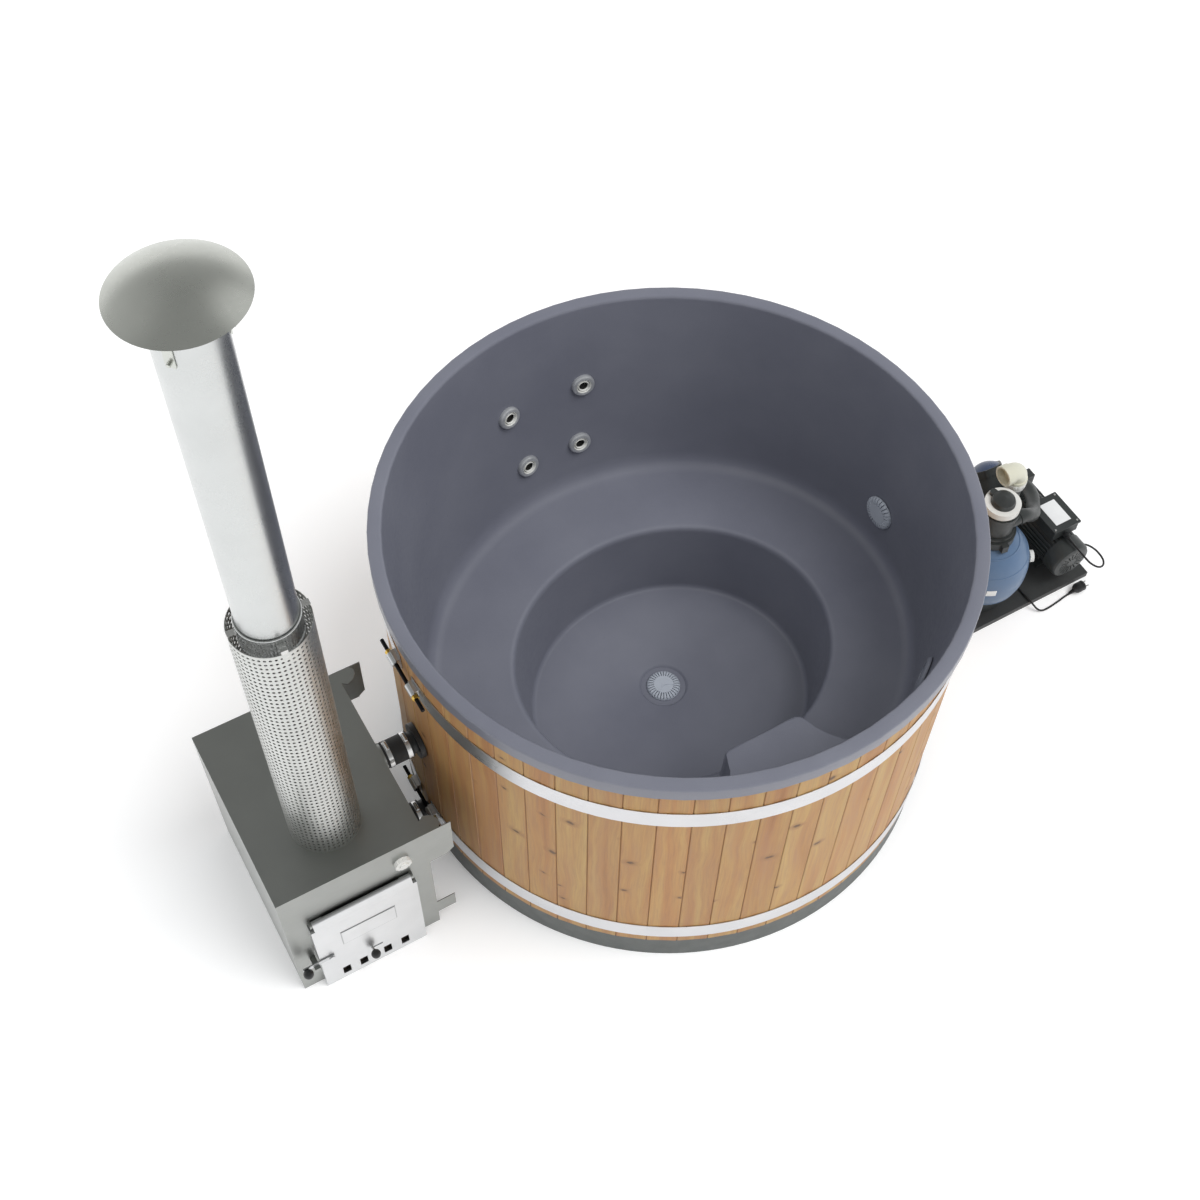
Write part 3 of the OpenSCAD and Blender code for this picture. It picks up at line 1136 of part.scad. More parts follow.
module pump_hose() color("dimgray") swept(smooth(hose_route, hose_step), hose_r, 12, [0, 0, 1]);

// The mains lead: out of the gland, over the motor's cover and down behind it, a coil on the base
// plate, and on to the plug on the ground at the plate's front edge
lead_r = lead_d/2;
lead_step = lead_d*3;
lead_out_route = [[1553, -202, 233], [1554, -225, 231], [1557, -255, 226], [1560, -290, 220], [1568, -322, 211],
    [1586, -344, 204], [1608, -344, 199], [1626, -326, 195], [1635, -298, 190], [1641, -262, 178],
    [1646, -222, 150], [1647, -182, 100], [1646, -140, 56], [1645, -90, 32], [1645, -30, 29], [1644, 60, 29],
    [1640, 130, 29], [1638.5, 166, 29], [1638.5, 178, 29]];
lead_in_route = [[1593, 223.5, 54.2], [1578, 223.5, 53], [1545, 225, 44], [1508, 228, 33], [1470, 226, 29],
    [1432, 206, 29], [1404, 168, 29], [1392, 110, 29], [1388, 20, 29], [1388, -90, 29], [1390, -180, 29],
    [1388, -225, 30], [1389, -256, 33], [1393, -282, 27], [1402, -302, 14], [1420, -312, 5],
    [1450, -313, 4], [1490, -309, 4], [1530, -303, 4], [1548, -302, 4]];
coil_x = 1600;
coil_y = 185;
coil_z = 29;
coil_r = 38.5;
coil_pitch = 9;
coil_rise = 8.4;
coil_layers = 4;
coil_turns = 7.25;
coil_layer_turns = (coil_turns - (coil_layers - 1)/2)/coil_layers;
coil_steps = 24;
// Each layer spirals in or out, and the half turn after it keeps its radius and climbs a layer
coil_block = coil_layer_turns + 0.5;
function coil_at(u) = let (k = min(coil_layers - 1, floor(u/coil_block)), w = u - k*coil_block,
    s = min(w, coil_layer_turns), inward = k%2 == 0,
    r = coil_r - coil_pitch*(inward ? s : coil_layer_turns - s),
    climb = max(0, w - coil_layer_turns)/0.5)
    [coil_x + r*cos(360*u), coil_y + r*sin(360*u), coil_z + coil_rise*(k + climb)];
coil_n = coil_turns*coil_steps;
coil_core = [for (i = [0:coil_n]) coil_at(i/coil_steps)];
coil_path = concat([coil_core[0] - [0, lead_d, 0]], coil_core,
    [[coil_core[coil_n][0] - lead_d, coil_core[coil_n][1], coil_core[coil_n][2]]]);
coil_gap = min([for (i = [0:2:coil_n - coil_steps/2]) min([for (j = [i + coil_steps/2:coil_n])
    norm(coil_core[i] - coil_core[j])])]) - lead_d;
module lead_out() color("black") swept(smooth(lead_out_route, lead_step), lead_r, 8, [0, 0, 1]);
module lead_in() color("black") swept(smooth(lead_in_route, lead_step), lead_r, 8, [0, 0, 1]);
module lead_coil() color("black") swept(coil_path, lead_r, 6, [0, 0, 1]);
echo(coil_gap = coil_gap, coil_length = path_length(coil_path),
    lead_out_length = path_length(smooth(lead_out_route, lead_step)),
    lead_in_length = path_length(smooth(lead_in_route, lead_step)),
    coil_start = coil_path[0], coil_end = coil_path[len(coil_path) - 1],
    rings = [len(smooth(lead_out_route, lead_step)), len(smooth(lead_in_route, lead_step))]);

plug_x = 1548;
plug_y = -302;
plug_axis_z = 4;
plug_w = 38;
plug_body_l = 42;
plug_pin_r = 2.4;
plug_pin_l = 19;
plug_pin_gap = 19;
plug_grip_l = 20;
plug_body_z = plug_w/2 + 0.5;
module plug() color("black") {
    translate([plug_x + seat, plug_y, lead_r + 1]) rotate([0, 90, 0]) cylinder(h = plug_grip_l, r = lead_r + 0.8);
    translate([plug_x + seat + plug_grip_l*0.5, plug_y - plug_w*0.3, plug_w*0.05]) cube([plug_grip_l, plug_w*0.6, plug_w*0.7]);
    translate([plug_x + seat + plug_grip_l, plug_y, plug_body_z]) rotate([0, 90, 0]) cylinder(h = plug_body_l, r = plug_w/2);
    for (side = [-1, 1]) translate([plug_x + plug_grip_l + plug_body_l - over, plug_y + side*plug_pin_gap/2, plug_body_z])
        rotate([0, 90, 0]) cylinder(h = plug_pin_l + over, r = plug_pin_r);
}

liner();
wall_staves();
base_tray();
floor_joists();
hoops();
hoop_lugs();
hoop_rods();
hoop_nuts();
drain_cover();
drain_pipe();
suction_cover();
circuit_covers();
jet_rings();
jet_ball(0);  // jet_ball_1
jet_ball(1);  // jet_ball_2
jet_ball(2);  // jet_ball_3
jet_ball(3);  // jet_ball_4
light_ring();
light_lens();
stove_body();
grate();
door();
door_lining();
hinge_rod();
latch_lever();
latch_knob();
damper_slide();
damper_knob();
front_plug();
hose_sleeves();
hose_clamps();
wall_stubs();
flue_lower();
flue_sleeve();
flue_upper();
guard();
guard_clips();
rain_cap();
filter_plate();
tank_foot();
tank();
tank_clamp();
valve_body();
dial_ring();
valve_handle();
port_adapter();
elbow();
tank_gauge();
pump_hose();
pump();
strainer_ring();
strainer_lid();
motor();
terminal_box();
gland();
switch_box();
lead_out();
lead_coil();
lead_in();
plug();
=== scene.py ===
import json
import math
import bpy
import bmesh
from mathutils import Matrix, Vector
from mathutils.bvhtree import BVHTree


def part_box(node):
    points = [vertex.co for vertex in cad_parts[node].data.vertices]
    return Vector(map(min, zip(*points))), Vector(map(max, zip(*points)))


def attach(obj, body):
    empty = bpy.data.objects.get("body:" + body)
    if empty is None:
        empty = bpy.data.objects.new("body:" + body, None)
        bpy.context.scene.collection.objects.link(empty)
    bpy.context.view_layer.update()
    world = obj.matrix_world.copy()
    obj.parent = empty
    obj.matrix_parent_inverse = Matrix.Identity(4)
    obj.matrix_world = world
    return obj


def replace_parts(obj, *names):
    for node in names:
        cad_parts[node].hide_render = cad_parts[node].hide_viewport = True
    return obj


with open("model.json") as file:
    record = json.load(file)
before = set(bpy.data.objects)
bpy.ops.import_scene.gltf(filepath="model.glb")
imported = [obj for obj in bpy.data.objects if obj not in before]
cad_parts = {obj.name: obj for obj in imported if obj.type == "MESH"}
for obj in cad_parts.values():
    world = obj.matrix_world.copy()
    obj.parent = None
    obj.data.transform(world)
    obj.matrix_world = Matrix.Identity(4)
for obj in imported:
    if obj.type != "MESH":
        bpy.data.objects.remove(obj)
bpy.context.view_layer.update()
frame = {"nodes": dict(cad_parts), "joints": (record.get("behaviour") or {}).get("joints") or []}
NODES = frame["nodes"]
scene = bpy.context.scene
scene.view_settings.view_transform = "Standard"

# Axes of the flue and of the filter's tank, in metres
FLUE_AT = (-1.2475, -0.127)
TANK_AT = (1.245, -0.12)


# ---- camera: above the stove's side, looking down into the tub, as solved from the photograph
CAMERA_AT = (-1.6648, -2.3698, 5.0266)
CAMERA_RIGHT = (0.8695, -0.4938, 0.0129)
CAMERA_UP = (0.4049, 0.7273, 0.5542)


def aim(cam, place, right, up):
    r, u = Vector(right).normalized(), Vector(up)
    u = (u - r * u.dot(r)).normalized()
    back = r.cross(u)
    turn = Matrix((r, u, back)).transposed()
    cam.rotation_mode = "QUATERNION"
    cam.rotation_quaternion = turn.to_quaternion()
    cam.location = place


cam_data = bpy.data.cameras.new("camera")
cam_data.lens = 50
cam_data.sensor_width = 36
cam_data.sensor_fit = "HORIZONTAL"
cam_data.clip_start, cam_data.clip_end = 0.1, 100
camera = bpy.data.objects.new("camera", cam_data)
scene.collection.objects.link(camera)
scene.camera = camera
aim(camera, CAMERA_AT, CAMERA_RIGHT, CAMERA_UP)


# ---- node materials
def srgb(*c):
    """A linear colour from 0 to 255 screen values."""
    return tuple((x / 255 / 12.92 if x <= 10 else ((x / 255 + 0.055) / 1.055) ** 2.4) for x in c) + (1,)


class Mat:
    """A material and short ways of wiring its nodes; an input's name may be i and its number."""

    def __init__(self, name, colour, rough, metal=0.0, **shader):
        self.m = bpy.data.materials.new(name)
        self.m.use_nodes = True
        self.t = self.m.node_tree
        self.b = self.t.nodes["Principled BSDF"]
        self.colour = srgb(*colour)
        self.set("Base Color", self.colour)
        self.set("Roughness", rough)
        self.set("Metallic", metal)
        for k, v in shader.items():
            self.set(k.replace("_", " "), v)
        self._p = None

    def set(self, key, value):
        if isinstance(value, bpy.types.NodeSocket):
            self.t.links.new(value, self.b.inputs[key])
        else:
            self.b.inputs[key].default_value = value

    def put(self, node, key, value):
        s = node.inputs[key]
        if isinstance(value, bpy.types.NodeSocket):
            self.t.links.new(value, s)
        elif value is not None:
            s.default_value = value

    def node(self, kind, out=0, props=None, **ins):
        n = self.t.nodes.new("ShaderNode" + kind)
        for k, v in (props or {}).items():
            setattr(n, k, v)
        for k, v in ins.items():
            key = int(k[1:]) if k[0] == "i" and k[1:].isdigit() else k.replace("_", " ")
            self.put(n, key, v)
        return n.outputs[out]

    def pos(self):
        if self._p is None:
            self._p = self.node("TexCoord", out="Object")
        return self._p

    def math(self, op, a, b=None):
        return self.node("Math", props={"operation": op}, i0=a, i1=b)

    def add(self, a, b):
        return self.math("ADD", a, b)

    def mul(self, a, b):
        return self.math("MULTIPLY", a, b)

    def vec(self, x, y, z):
        return self.node("CombineXYZ", i0=x, i1=y, i2=z)

    def xyz(self, vec):
        n = self.t.nodes.new("ShaderNodeSeparateXYZ")
        self.put(n, 0, vec)
        return n.outputs[0], n.outputs[1], n.outputs[2]

    def noise(self, vec, scale, detail=3.0, rough=0.55, distort=0.0, out=0):
        return self.node("TexNoise", out=out, Vector=vec, Scale=scale, Detail=detail, Roughness=rough,
                         Distortion=distort)

    def scaled(self, vec, x, y, z):
        return self.node("VectorMath", props={"operation": "MULTIPLY"}, i0=vec, i1=(x, y, z))

    def ramp(self, fac, *stops):
        n = self.t.nodes.new("ShaderNodeValToRGB")
        self.put(n, "Fac", fac)
        e = n.color_ramp.elements
        while len(e) < len(stops):
            e.new(0.5)
        for k, (p, c) in enumerate(stops):
            e[k].position = p
            e[k].color = c if isinstance(c, tuple) else (c, c, c, 1)
        return n.outputs[0]

    def mix(self, fac, a, b, blend="MIX"):
        return self.node("Mix", out=2, props={"data_type": "RGBA", "blend_type": blend}, i0=fac, i6=a, i7=b)

    def span(self, v, lo, hi, a=0.0, b=1.0, kind="LINEAR"):
        n = self.t.nodes.new("ShaderNodeMapRange")
        n.interpolation_type = kind
        for k, x in enumerate((v, lo, hi, a, b)):
            self.put(n, k, x)
        return n.outputs[0]

    def bump(self, height, strength, distance):
        self.set("Normal", self.node("Bump", Height=height, Strength=strength, Distance=distance))

    def shades(self, vec, scale, amount):
        """The base colour with soft darker and lighter patches."""
        f = self.span(self.noise(vec, scale, 4.0), 0.3, 0.7, 1 - amount, 1 + amount)
        self.set("Base Color", self.mix(1.0, self.colour, f, "MULTIPLY"))


def plastic(name, colour, rough, grain=900, depth=0.00008, amount=0.05, **shader):
    m = Mat(name, colour, rough, 0.0, **shader)
    p = m.pos()
    m.shades(p, 9, amount)
    m.set("Roughness", m.span(m.noise(p, 30, 5), 0.3, 0.7, rough - 0.05, rough + 0.07))
    m.bump(m.noise(p, grain, 2), 0.35, depth)
    return m


def metal(name, colour, rough, brush=(1, 1, 1), scale=300, spread=0.08, depth=0.00004):
    """Brushed or rolled metal: the noise is long where brush is small."""
    m = Mat(name, colour, rough, 1.0)
    p = m.pos()
    m.shades(p, 5, 0.05)
    lines = m.noise(m.scaled(p, *brush), scale, 4, 0.65)
    smears = m.noise(p, 14, 5)
    both = m.add(m.mul(lines, 0.6), m.mul(smears, 0.4))
    m.set("Roughness", m.span(both, 0.3, 0.7, max(rough - spread, 0.02), rough + spread))
    m.bump(lines, 0.3, depth)
    return m


def round_brushed(name, colour, rough, centre=(0, 0), scale=900, along=0.02, spread=0.08):
    """Metal brushed round an upright axis."""
    m = Mat(name, colour, rough, 1.0)
    p = m.pos()
    x, y, z = m.xyz(p)
    a = m.math("ARCTAN2", m.math("SUBTRACT", y, centre[1]), m.math("SUBTRACT", x, centre[0]))
    lines = m.noise(m.vec(m.mul(a, along), 0.0, z), scale, 3, 0.7)
    m.shades(p, 6, 0.04)
    smears = m.noise(p, 9, 5)
    both = m.add(m.mul(lines, 0.5), m.mul(smears, 0.5))
    m.set("Roughness", m.span(both, 0.3, 0.7, max(rough - spread, 0.02), rough + spread))
    m.bump(lines, 0.25, 0.00003)
    return m


# Cells that hold one knot each at most, in metres, and how far their rows slant across a stave
KNOT_CELL = (0.15, 0.1)
KNOT_SLANT = 1.2
# Share of the cells left without a knot, and the knots' sizes as shares of a cell
KNOT_FREE = 0.7
KNOT_SIZES = (0.05, 0.115)
# The dark line at a stave's edge begins and is full at these distances from the joint
JOINT_FROM, JOINT_FULL = 0.0024, 0.0006


def wood(name, count, radius):
    """Pine staves: each stave has its own tone, grain and knots."""
    m = Mat(name, (192, 154, 108), 0.5)
    p = m.pos()
    x, y, z = m.xyz(p)
    turn = m.mul(m.math("ARCTAN2", y, x), count / (2 * math.pi))
    stave = m.add(m.math("FLOOR", turn), 0.5)
    own = m.node("TexWhiteNoise", out="Value", props={"noise_dimensions": "1D"}, W=stave)
    own2 = m.node("TexWhiteNoise", out="Value", props={"noise_dimensions": "1D"}, W=m.add(stave, 71.3))
    half = math.pi * radius / count
    across = m.mul(m.math("SUBTRACT", turn, stave), 2 * half)
    depth = m.math("SUBTRACT", m.math("SQRT", m.add(m.mul(x, x), m.mul(y, y))), radius)
    # knots: a few flat dark ovals on each stave
    up = m.add(m.math("DIVIDE", z, KNOT_CELL[1]), m.mul(own2, 19.0))
    where = m.vec(m.add(m.math("DIVIDE", across, KNOT_CELL[0]), m.mul(own, 37.0)),
                  m.add(up, m.mul(across, KNOT_SLANT)), 0.0)
    wob = m.noise(p, 38, 3, out=1)
    bent = m.node("VectorMath", props={"operation": "MULTIPLY_ADD"}, i0=wob, i1=(0.10, 0.22, 0.0), i2=where)
    cells = m.t.nodes.new("ShaderNodeTexVoronoi")
    cells.voronoi_dimensions = "2D"
    cells.feature = "F1"
    m.put(cells, "Vector", bent)
    m.put(cells, "Scale", 1.0)
    pick = m.node("SeparateColor", i0=cells.outputs["Color"])
    few = m.math("GREATER_THAN", pick, KNOT_FREE)
    size = m.span(pick, KNOT_FREE, 1.0, *KNOT_SIZES)
    near = m.math("DIVIDE", cells.outputs["Distance"], size)
    knot = m.mul(few, m.span(near, 0.3, 1.1, 1.0, 0.0, "SMOOTHSTEP"))
    halo = m.mul(few, m.span(near, 0.8, 2.6, 1.0, 0.0, "SMOOTHSTEP"))
    # grain: long streaks that bow aside round the knots
    bow = m.mul(halo, 0.012)
    sway = m.mul(m.noise(m.vec(across, z, m.mul(own, 91.0)), 2.2, 2), 0.05)
    side = m.add(m.add(across, bow), sway)
    grain = m.vec(side, m.mul(z, 0.045), m.add(m.mul(own, 53.0), depth))
    broad = m.noise(grain, 24, 3, 0.5, 0.3)
    fine = m.noise(grain, 190, 4, 0.6, 0.2)
    fibre = m.noise(m.vec(side, m.mul(z, 0.02), own2), 900, 2, 0.6)
    tone = m.ramp(broad, (0.28, srgb(178, 136, 96)), (0.42, srgb(190, 149, 107)), (0.55, srgb(196, 162, 116)),
                  (0.72, srgb(203, 178, 129)))
    lines = m.ramp(fine, (0.34, srgb(196, 164, 124)), (0.52, srgb(236, 222, 200)), (0.7, srgb(255, 252, 244)))
    col = m.mix(0.42, tone, m.mix(1.0, tone, lines, "MULTIPLY"))
    own_tone = m.ramp(own, (0.0, srgb(236, 214, 186)), (0.35, srgb(255, 240, 214)), (0.7, srgb(255, 250, 224)),
                      (1.0, srgb(240, 226, 206)))
    col = m.mix(0.85, col, m.mix(1.0, col, own_tone, "MULTIPLY"))
    bands = m.noise(m.vec(side, m.mul(z, 0.12), m.mul(own2, 29.0)), 17, 2)
    col = m.mix(m.span(bands, 0.5, 0.72, 0.0, 0.42), col, srgb(176, 130, 92))
    col = m.mix(m.mul(halo, 0.42), col, srgb(146, 102, 64))
    col = m.mix(m.mul(knot, 0.85), col, srgb(82, 58, 42))
    edge = m.span(m.math("ABSOLUTE", across), half - JOINT_FROM, half - JOINT_FULL, 0.0, 0.5)
    m.set("Base Color", m.mix(edge, col, srgb(112, 70, 40)))
    m.set("Roughness", m.span(fine, 0.3, 0.7, 0.44, 0.62))
    rise = m.add(m.mul(fine, 0.6), m.mul(fibre, 0.4))
    m.bump(m.math("SUBTRACT", rise, m.mul(knot, 0.6)), 0.4, 0.0006)
    return m


def liner_mat():
    """Glossy moulded shell: faint mottling, soft ripple and wear on the seat."""
    m = Mat("moulded_shell", (118, 120, 132), 0.33, 0.0, Coat_Weight=0.15, Coat_Roughness=0.2)
    p = m.pos()
    soft = m.noise(p, 3.2, 4)
    fleck = m.noise(p, 520, 2)
    tone = m.add(m.mul(soft, 0.7), m.mul(fleck, 0.3))
    m.set("Base Color", m.mix(m.span(tone, 0.35, 0.65), srgb(111, 113, 125), srgb(121, 123, 134)))
    scuff = m.noise(m.scaled(p, 1, 1, 1.6), 45, 6, 0.7)
    m.set("Roughness", m.span(scuff, 0.25, 0.75, 0.26, 0.42))
    m.bump(m.add(m.noise(p, 7, 2), m.mul(fleck, 0.02)), 0.25, 0.004)
    return m


def cast(name, colour, rough):
    """Painted casting or moulded housing with a fine orange peel and dust."""
    m = Mat(name, colour, rough)
    p = m.pos()
    m.shades(p, 11, 0.12)
    m.set("Roughness", m.span(m.noise(p, 60, 5, 0.7), 0.3, 0.7, rough - 0.08, rough + 0.1))
    m.bump(m.noise(p, 700, 3, 0.6), 0.5, 0.00025)
    return m


STAVE_COUNT, STAVE_RADIUS = 58, 0.883
M = {
    "shell": liner_mat(),
    "wood": wood("pine_staves", STAVE_COUNT, STAVE_RADIUS),
    "tray": plastic("tray_plastic", (86, 90, 88), 0.5),
    "joist": cast("joist_timber", (120, 92, 60), 0.7),
    "hoop": round_brushed("hoop_steel", (212, 213, 216), 0.3),
    "lug": metal("lug_steel", (200, 202, 203), 0.32, (1, 1, 0.2), 420),
    "rod": metal("rod_black", (34, 34, 36), 0.42, (1, 1, 1), 500),
    "brass": metal("nut_brass", (206, 172, 84), 0.28, (1, 1, 1), 500),
    "cover": plastic("cover_plastic", (182, 188, 198), 0.34),
    "ring": plastic("jet_ring", (192, 194, 197), 0.3, 500, 0.00005, 0.04, Metallic=0.5),
    "trim": plastic("trim_plastic", (128, 131, 142), 0.36),
    # The nozzle's bore: near-black as painted shade of the hole
    "bore": cast("nozzle_bore", (46, 46, 45), 0.45),
    "white": plastic("white_plastic", (222, 222, 218), 0.32),
    "lens": Mat("lens_clear", (170, 176, 186), 0.16, 0.0, Transmission_Weight=0.4, IOR=1.49),
    "stove": metal("stove_steel", (160, 162, 159), 0.36, (0.05, 1, 1), 420, 0.06, 0.00003),
    # A darker copy of the door's steel: painted shade for the frame round the door's plate
    "badge": metal("plate_frame_painted_shade", (184, 185, 186), 0.42, (0.05, 1, 1), 500, 0.05, 0.00003),
    "door": metal("door_steel", (217, 218, 219), 0.36, (0.05, 1, 1), 500, 0.06, 0.00003),
    "lining": cast("lining_fireclay", (92, 84, 76), 0.85),
    "iron": cast("grate_iron", (44, 43, 42), 0.6),
    "black": plastic("black_plastic", (32, 33, 34), 0.38),
    "rubber": plastic("sleeve_rubber", (36, 37, 38), 0.55, 500, 0.0002),
    "clamp": metal("clamp_steel", (214, 214, 214), 0.22, (1, 0.1, 0.1), 500),
    "pipe": round_brushed("pipe_steel", (182, 183, 181), 0.2, FLUE_AT, 500, 0.03, 0.08),
    "flue": round_brushed("flue_steel", (207, 209, 208), 0.28, FLUE_AT, 700, 0.02, 0.03),
    "guard": round_brushed("guard_steel", (204, 205, 202), 0.38, FLUE_AT, 500, 0.04, 0.06),
    "cap": metal("cap_steel", (206, 208, 202), 0.3, (1, 1, 1), 90, 0.06, 0.00006),
    "plate": cast("plate_plastic", (56, 57, 57), 0.55),
    "tank": plastic("tank_plastic", (88, 112, 142), 0.36, 700, 0.00015),
    "housing": cast("pump_housing", (50, 53, 53), 0.42),
    "cream": plastic("elbow_plastic", (214, 213, 196), 0.4),
    "dome": plastic("lid_plastic", (66, 78, 104), 0.3),
    "cable": plastic("lead_jacket", (30, 30, 31), 0.42, 1200, 0.0001),
    "label": plastic("bare_plate", (236, 237, 237), 0.34),
    "screw": metal("screw_steel", (214, 214, 212), 0.24),
}

# CAD node: its material, the width of its bevels, and the angle from which an edge is sharp
DRESS = {
    "liner": ("shell", 0, 40), "wall_staves": ("wood", 0.0012, 30), "base_tray": ("tray", 0.002, 30),
    "floor_joists": ("joist", 0.002, 30), "hoops": ("hoop", 0, 40), "hoop_lugs": ("lug", 0.0008, 30),
    "hoop_rods": ("rod", 0.0004, 30), "hoop_nuts": ("brass", 0.0006, 25), "drain_cover": ("cover", 0.0006, 35),
    "drain_pipe": ("black", 0.0006, 35), "suction_cover": ("cover", 0.0006, 35),
    "circuit_covers": ("cover", 0.0006, 35), "light_ring": ("trim", 0.0008, 35),
    "light_lens": ("lens", 0.0008, 35), "stove_body": ("stove", 0.0014, 30), "grate": ("iron", 0.001, 30),
    "door": ("door", 0, 30), "door_lining": ("lining", 0.001, 30), "hinge_rod": ("rod", 0.0005, 35),
    "latch_lever": ("lug", 0.0008, 35), "latch_knob": ("black", 0, 40), "damper_slide": ("lug", 0.0004, 30),
    "damper_knob": ("black", 0, 40), "front_plug": ("white", 0.0008, 30), "hose_sleeves": ("rubber", 0.001, 35),
    "hose_clamps": ("clamp", 0.0005, 30), "wall_stubs": ("black", 0.001, 35), "flue_lower": ("pipe", 0.0008, 35),
    "flue_sleeve": ("flue", 0.0006, 35), "flue_upper": ("flue", 0.0006, 35), "guard_clips": ("screw", 0.0006, 30),
    "rain_cap": ("cap", 0.0006, 35), "filter_plate": ("plate", 0.0015, 30), "tank_foot": ("housing", 0.001, 35),
    "tank": ("tank", 0.001, 35), "tank_clamp": ("housing", 0.001, 30), "valve_body": ("housing", 0.001, 30),
    "dial_ring": ("white", 0.0008, 35), "valve_handle": ("housing", 0.0012, 30),
    "tank_gauge": ("white", 0.0006, 35), "pump_hose": ("housing", 0, 40),
    "pump": ("housing", 0.0012, 30), "strainer_ring": ("housing", 0.0008, 30), "strainer_lid": ("dome", 0.0006, 35),
    "motor": ("housing", 0.0008, 30), "terminal_box": ("housing", 0.0012, 30), "gland": ("black", 0.0006, 30),
    "switch_box": ("housing", 0.0012, 30),
}


def split(o, angle):
    """Keeps the edges above an angle sharp in the shading."""
    e = o.modifiers.new("split", "EDGE_SPLIT")
    e.split_angle = math.radians(angle)


def thicken(o, thickness, offset):
    """Gives a skin its sheet's thickness."""
    s = o.modifiers.new("thick", "SOLIDIFY")
    s.thickness = thickness
    s.offset = offset


def soften(o, width, angle):
    """Welds the facets for shading, then rounds or splits the sharp edges."""
    me = o.data
    for p in me.polygons:
        p.use_smooth = True
    if "custom_normal" in me.attributes:
        me.attributes.remove(me.attributes["custom_normal"])
    w = o.modifiers.new("weld", "WELD")
    w.merge_threshold = 0.00002
    if width:
        b = o.modifiers.new("bevel", "BEVEL")
        b.width = width
        b.segments = 2
        b.limit_method = "ANGLE"
        b.angle_limit = math.radians(angle)
        b.harden_normals = True
        b.use_clamp_overlap = True
    else:
        split(o, angle)


for name, (key, width, angle) in DRESS.items():
    o = NODES[name]
    o.data.materials.clear()
    o.data.materials.append(M[key].m)
    soften(o, width, angle)


# ---- mesh helpers
def piece(name, verts, faces, key, body="tub"):
    """A smooth-shaded mesh that rides on a body."""
    me = bpy.data.meshes.new(name)
    me.from_pydata([tuple(v) for v in verts], [], faces)
    me.validate()
    me.update()
    for p in me.polygons:
        p.use_smooth = True
    return placed(name, me, key, body)


def placed(name, me, key, body):
    """The mesh as an object with its material, riding on its body."""
    me.materials.append(M[key].m)
    o = bpy.data.objects.new(name, me)
    scene.collection.objects.link(o)
    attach(o, body)
    return o


def frames(path):
    """Each point with two directions square to the path, which turn as little as may be."""
    n = len(path)
    t = [(path[min(i + 1, n - 1)] - path[max(i - 1, 0)]).normalized() for i in range(n)]
    u = Vector((0, 0, 1)) if abs(t[0].z) < 0.9 else Vector((1, 0, 0))
    out = []
    for i in range(n):
        u = (u - t[i] * u.dot(t[i])).normalized()
        out.append((path[i], u, t[i].cross(u)))
    return out


def sides_of(axis):
    """The axis as a unit vector, and two directions square to it."""
    t = Vector(axis).normalized()
    u = Vector((0, 0, 1)) if abs(t.z) < 0.9 else Vector((1, 0, 0))
    u = (u - t * u.dot(t)).normalized()
    return t, u, t.cross(u)


def circle(centre, u, v, r, sides):
    angles = [2 * math.pi * k / sides for k in range(sides)]
    return [centre + u * (r * math.cos(a)) + v * (r * math.sin(a)) for a in angles]


def skin(rows, sides):
    """Faces over rows of points, each row a circle, with both ends shut."""
    faces = []
    for i in range(rows - 1):
        for k in range(sides):
            a, b = i * sides + k, i * sides + (k + 1) % sides
            faces.append((a, b, b + sides, a + sides))
    faces.append(tuple(range(sides))[::-1])
    faces.append(tuple((rows - 1) * sides + k for k in range(sides)))
    return faces


def tube(name, path, radii, key, sides):
    """A closed skin round a path, with its own radius at each point."""
    verts = []
    for spot, r in zip(frames(path), radii):
        verts += circle(*spot, r, sides)
    return piece(name, verts, skin(len(path), sides), key)


def turned(name, profile, centre, axis, key, sides, body="tub"):
    """A turned form: its profile is pairs of distance along the axis and radius."""
    t, u, v = sides_of(axis)
    verts = []
    for d, r in profile:
        verts += circle(Vector(centre) + t * d, u, v, r, sides)
    return piece(name, verts, skin(len(profile), sides), key, body)


def turned_loop(section, centre, axis, sides):
    """Vertices and faces of a closed section turned round an axis."""
    t, u, v = sides_of(axis)
    n = len(section)
    verts = [q for d, r in section for q in circle(centre + t * d, u, v, r, sides)]
    faces = [(i * sides + k, i * sides + (k + 1) % sides,
              (i + 1) % n * sides + (k + 1) % sides, (i + 1) % n * sides + k)
             for i in range(n) for k in range(sides)]
    return verts, faces


def gathered(name, parts, key):
    """One piece from several lists of vertices and faces."""
    verts, faces = [], []
    for pv, pf in parts:
        faces += [tuple(k + len(verts) for k in f) for f in pf]
        verts += pv
    o = piece(name, verts, faces, key)
    split(o, 32)
    return o


# ---- the mains lead: gland, down behind the motor, the coil on the plate, out to the plug
# Its diameter in metres; the routes and the coil are in millimetres
LEAD = 0.007
OUT = [(1553, -202, 233), (1554, -225, 231), (1557, -255, 226), (1560, -290, 220), (1568, -322, 211),
       (1586, -344, 204), (1608, -344, 199), (1626, -326, 195), (1635, -298, 190), (1641, -262, 178),
       (1646, -222, 150), (1647, -182, 100), (1646, -140, 56), (1645, -90, 32), (1645, -30, 29), (1644, 60, 29),
       (1640, 130, 29), (1638.5, 166, 29), (1638.5, 178, 29)]
IN = [(1593, 223.5, 54.2), (1578, 223.5, 53), (1545, 225, 44), (1508, 228, 33), (1470, 226, 29),
      (1432, 206, 29), (1404, 168, 29), (1392, 110, 29), (1388, 20, 29), (1388, -90, 29), (1390, -180, 29),
      (1388, -225, 30), (1389, -256, 33), (1393, -282, 27), (1402, -302, 14), (1420, -312, 5),
      (1450, -313, 4), (1490, -309, 4), (1530, -303, 4), (1548, -302, 4)]
STEP = 7
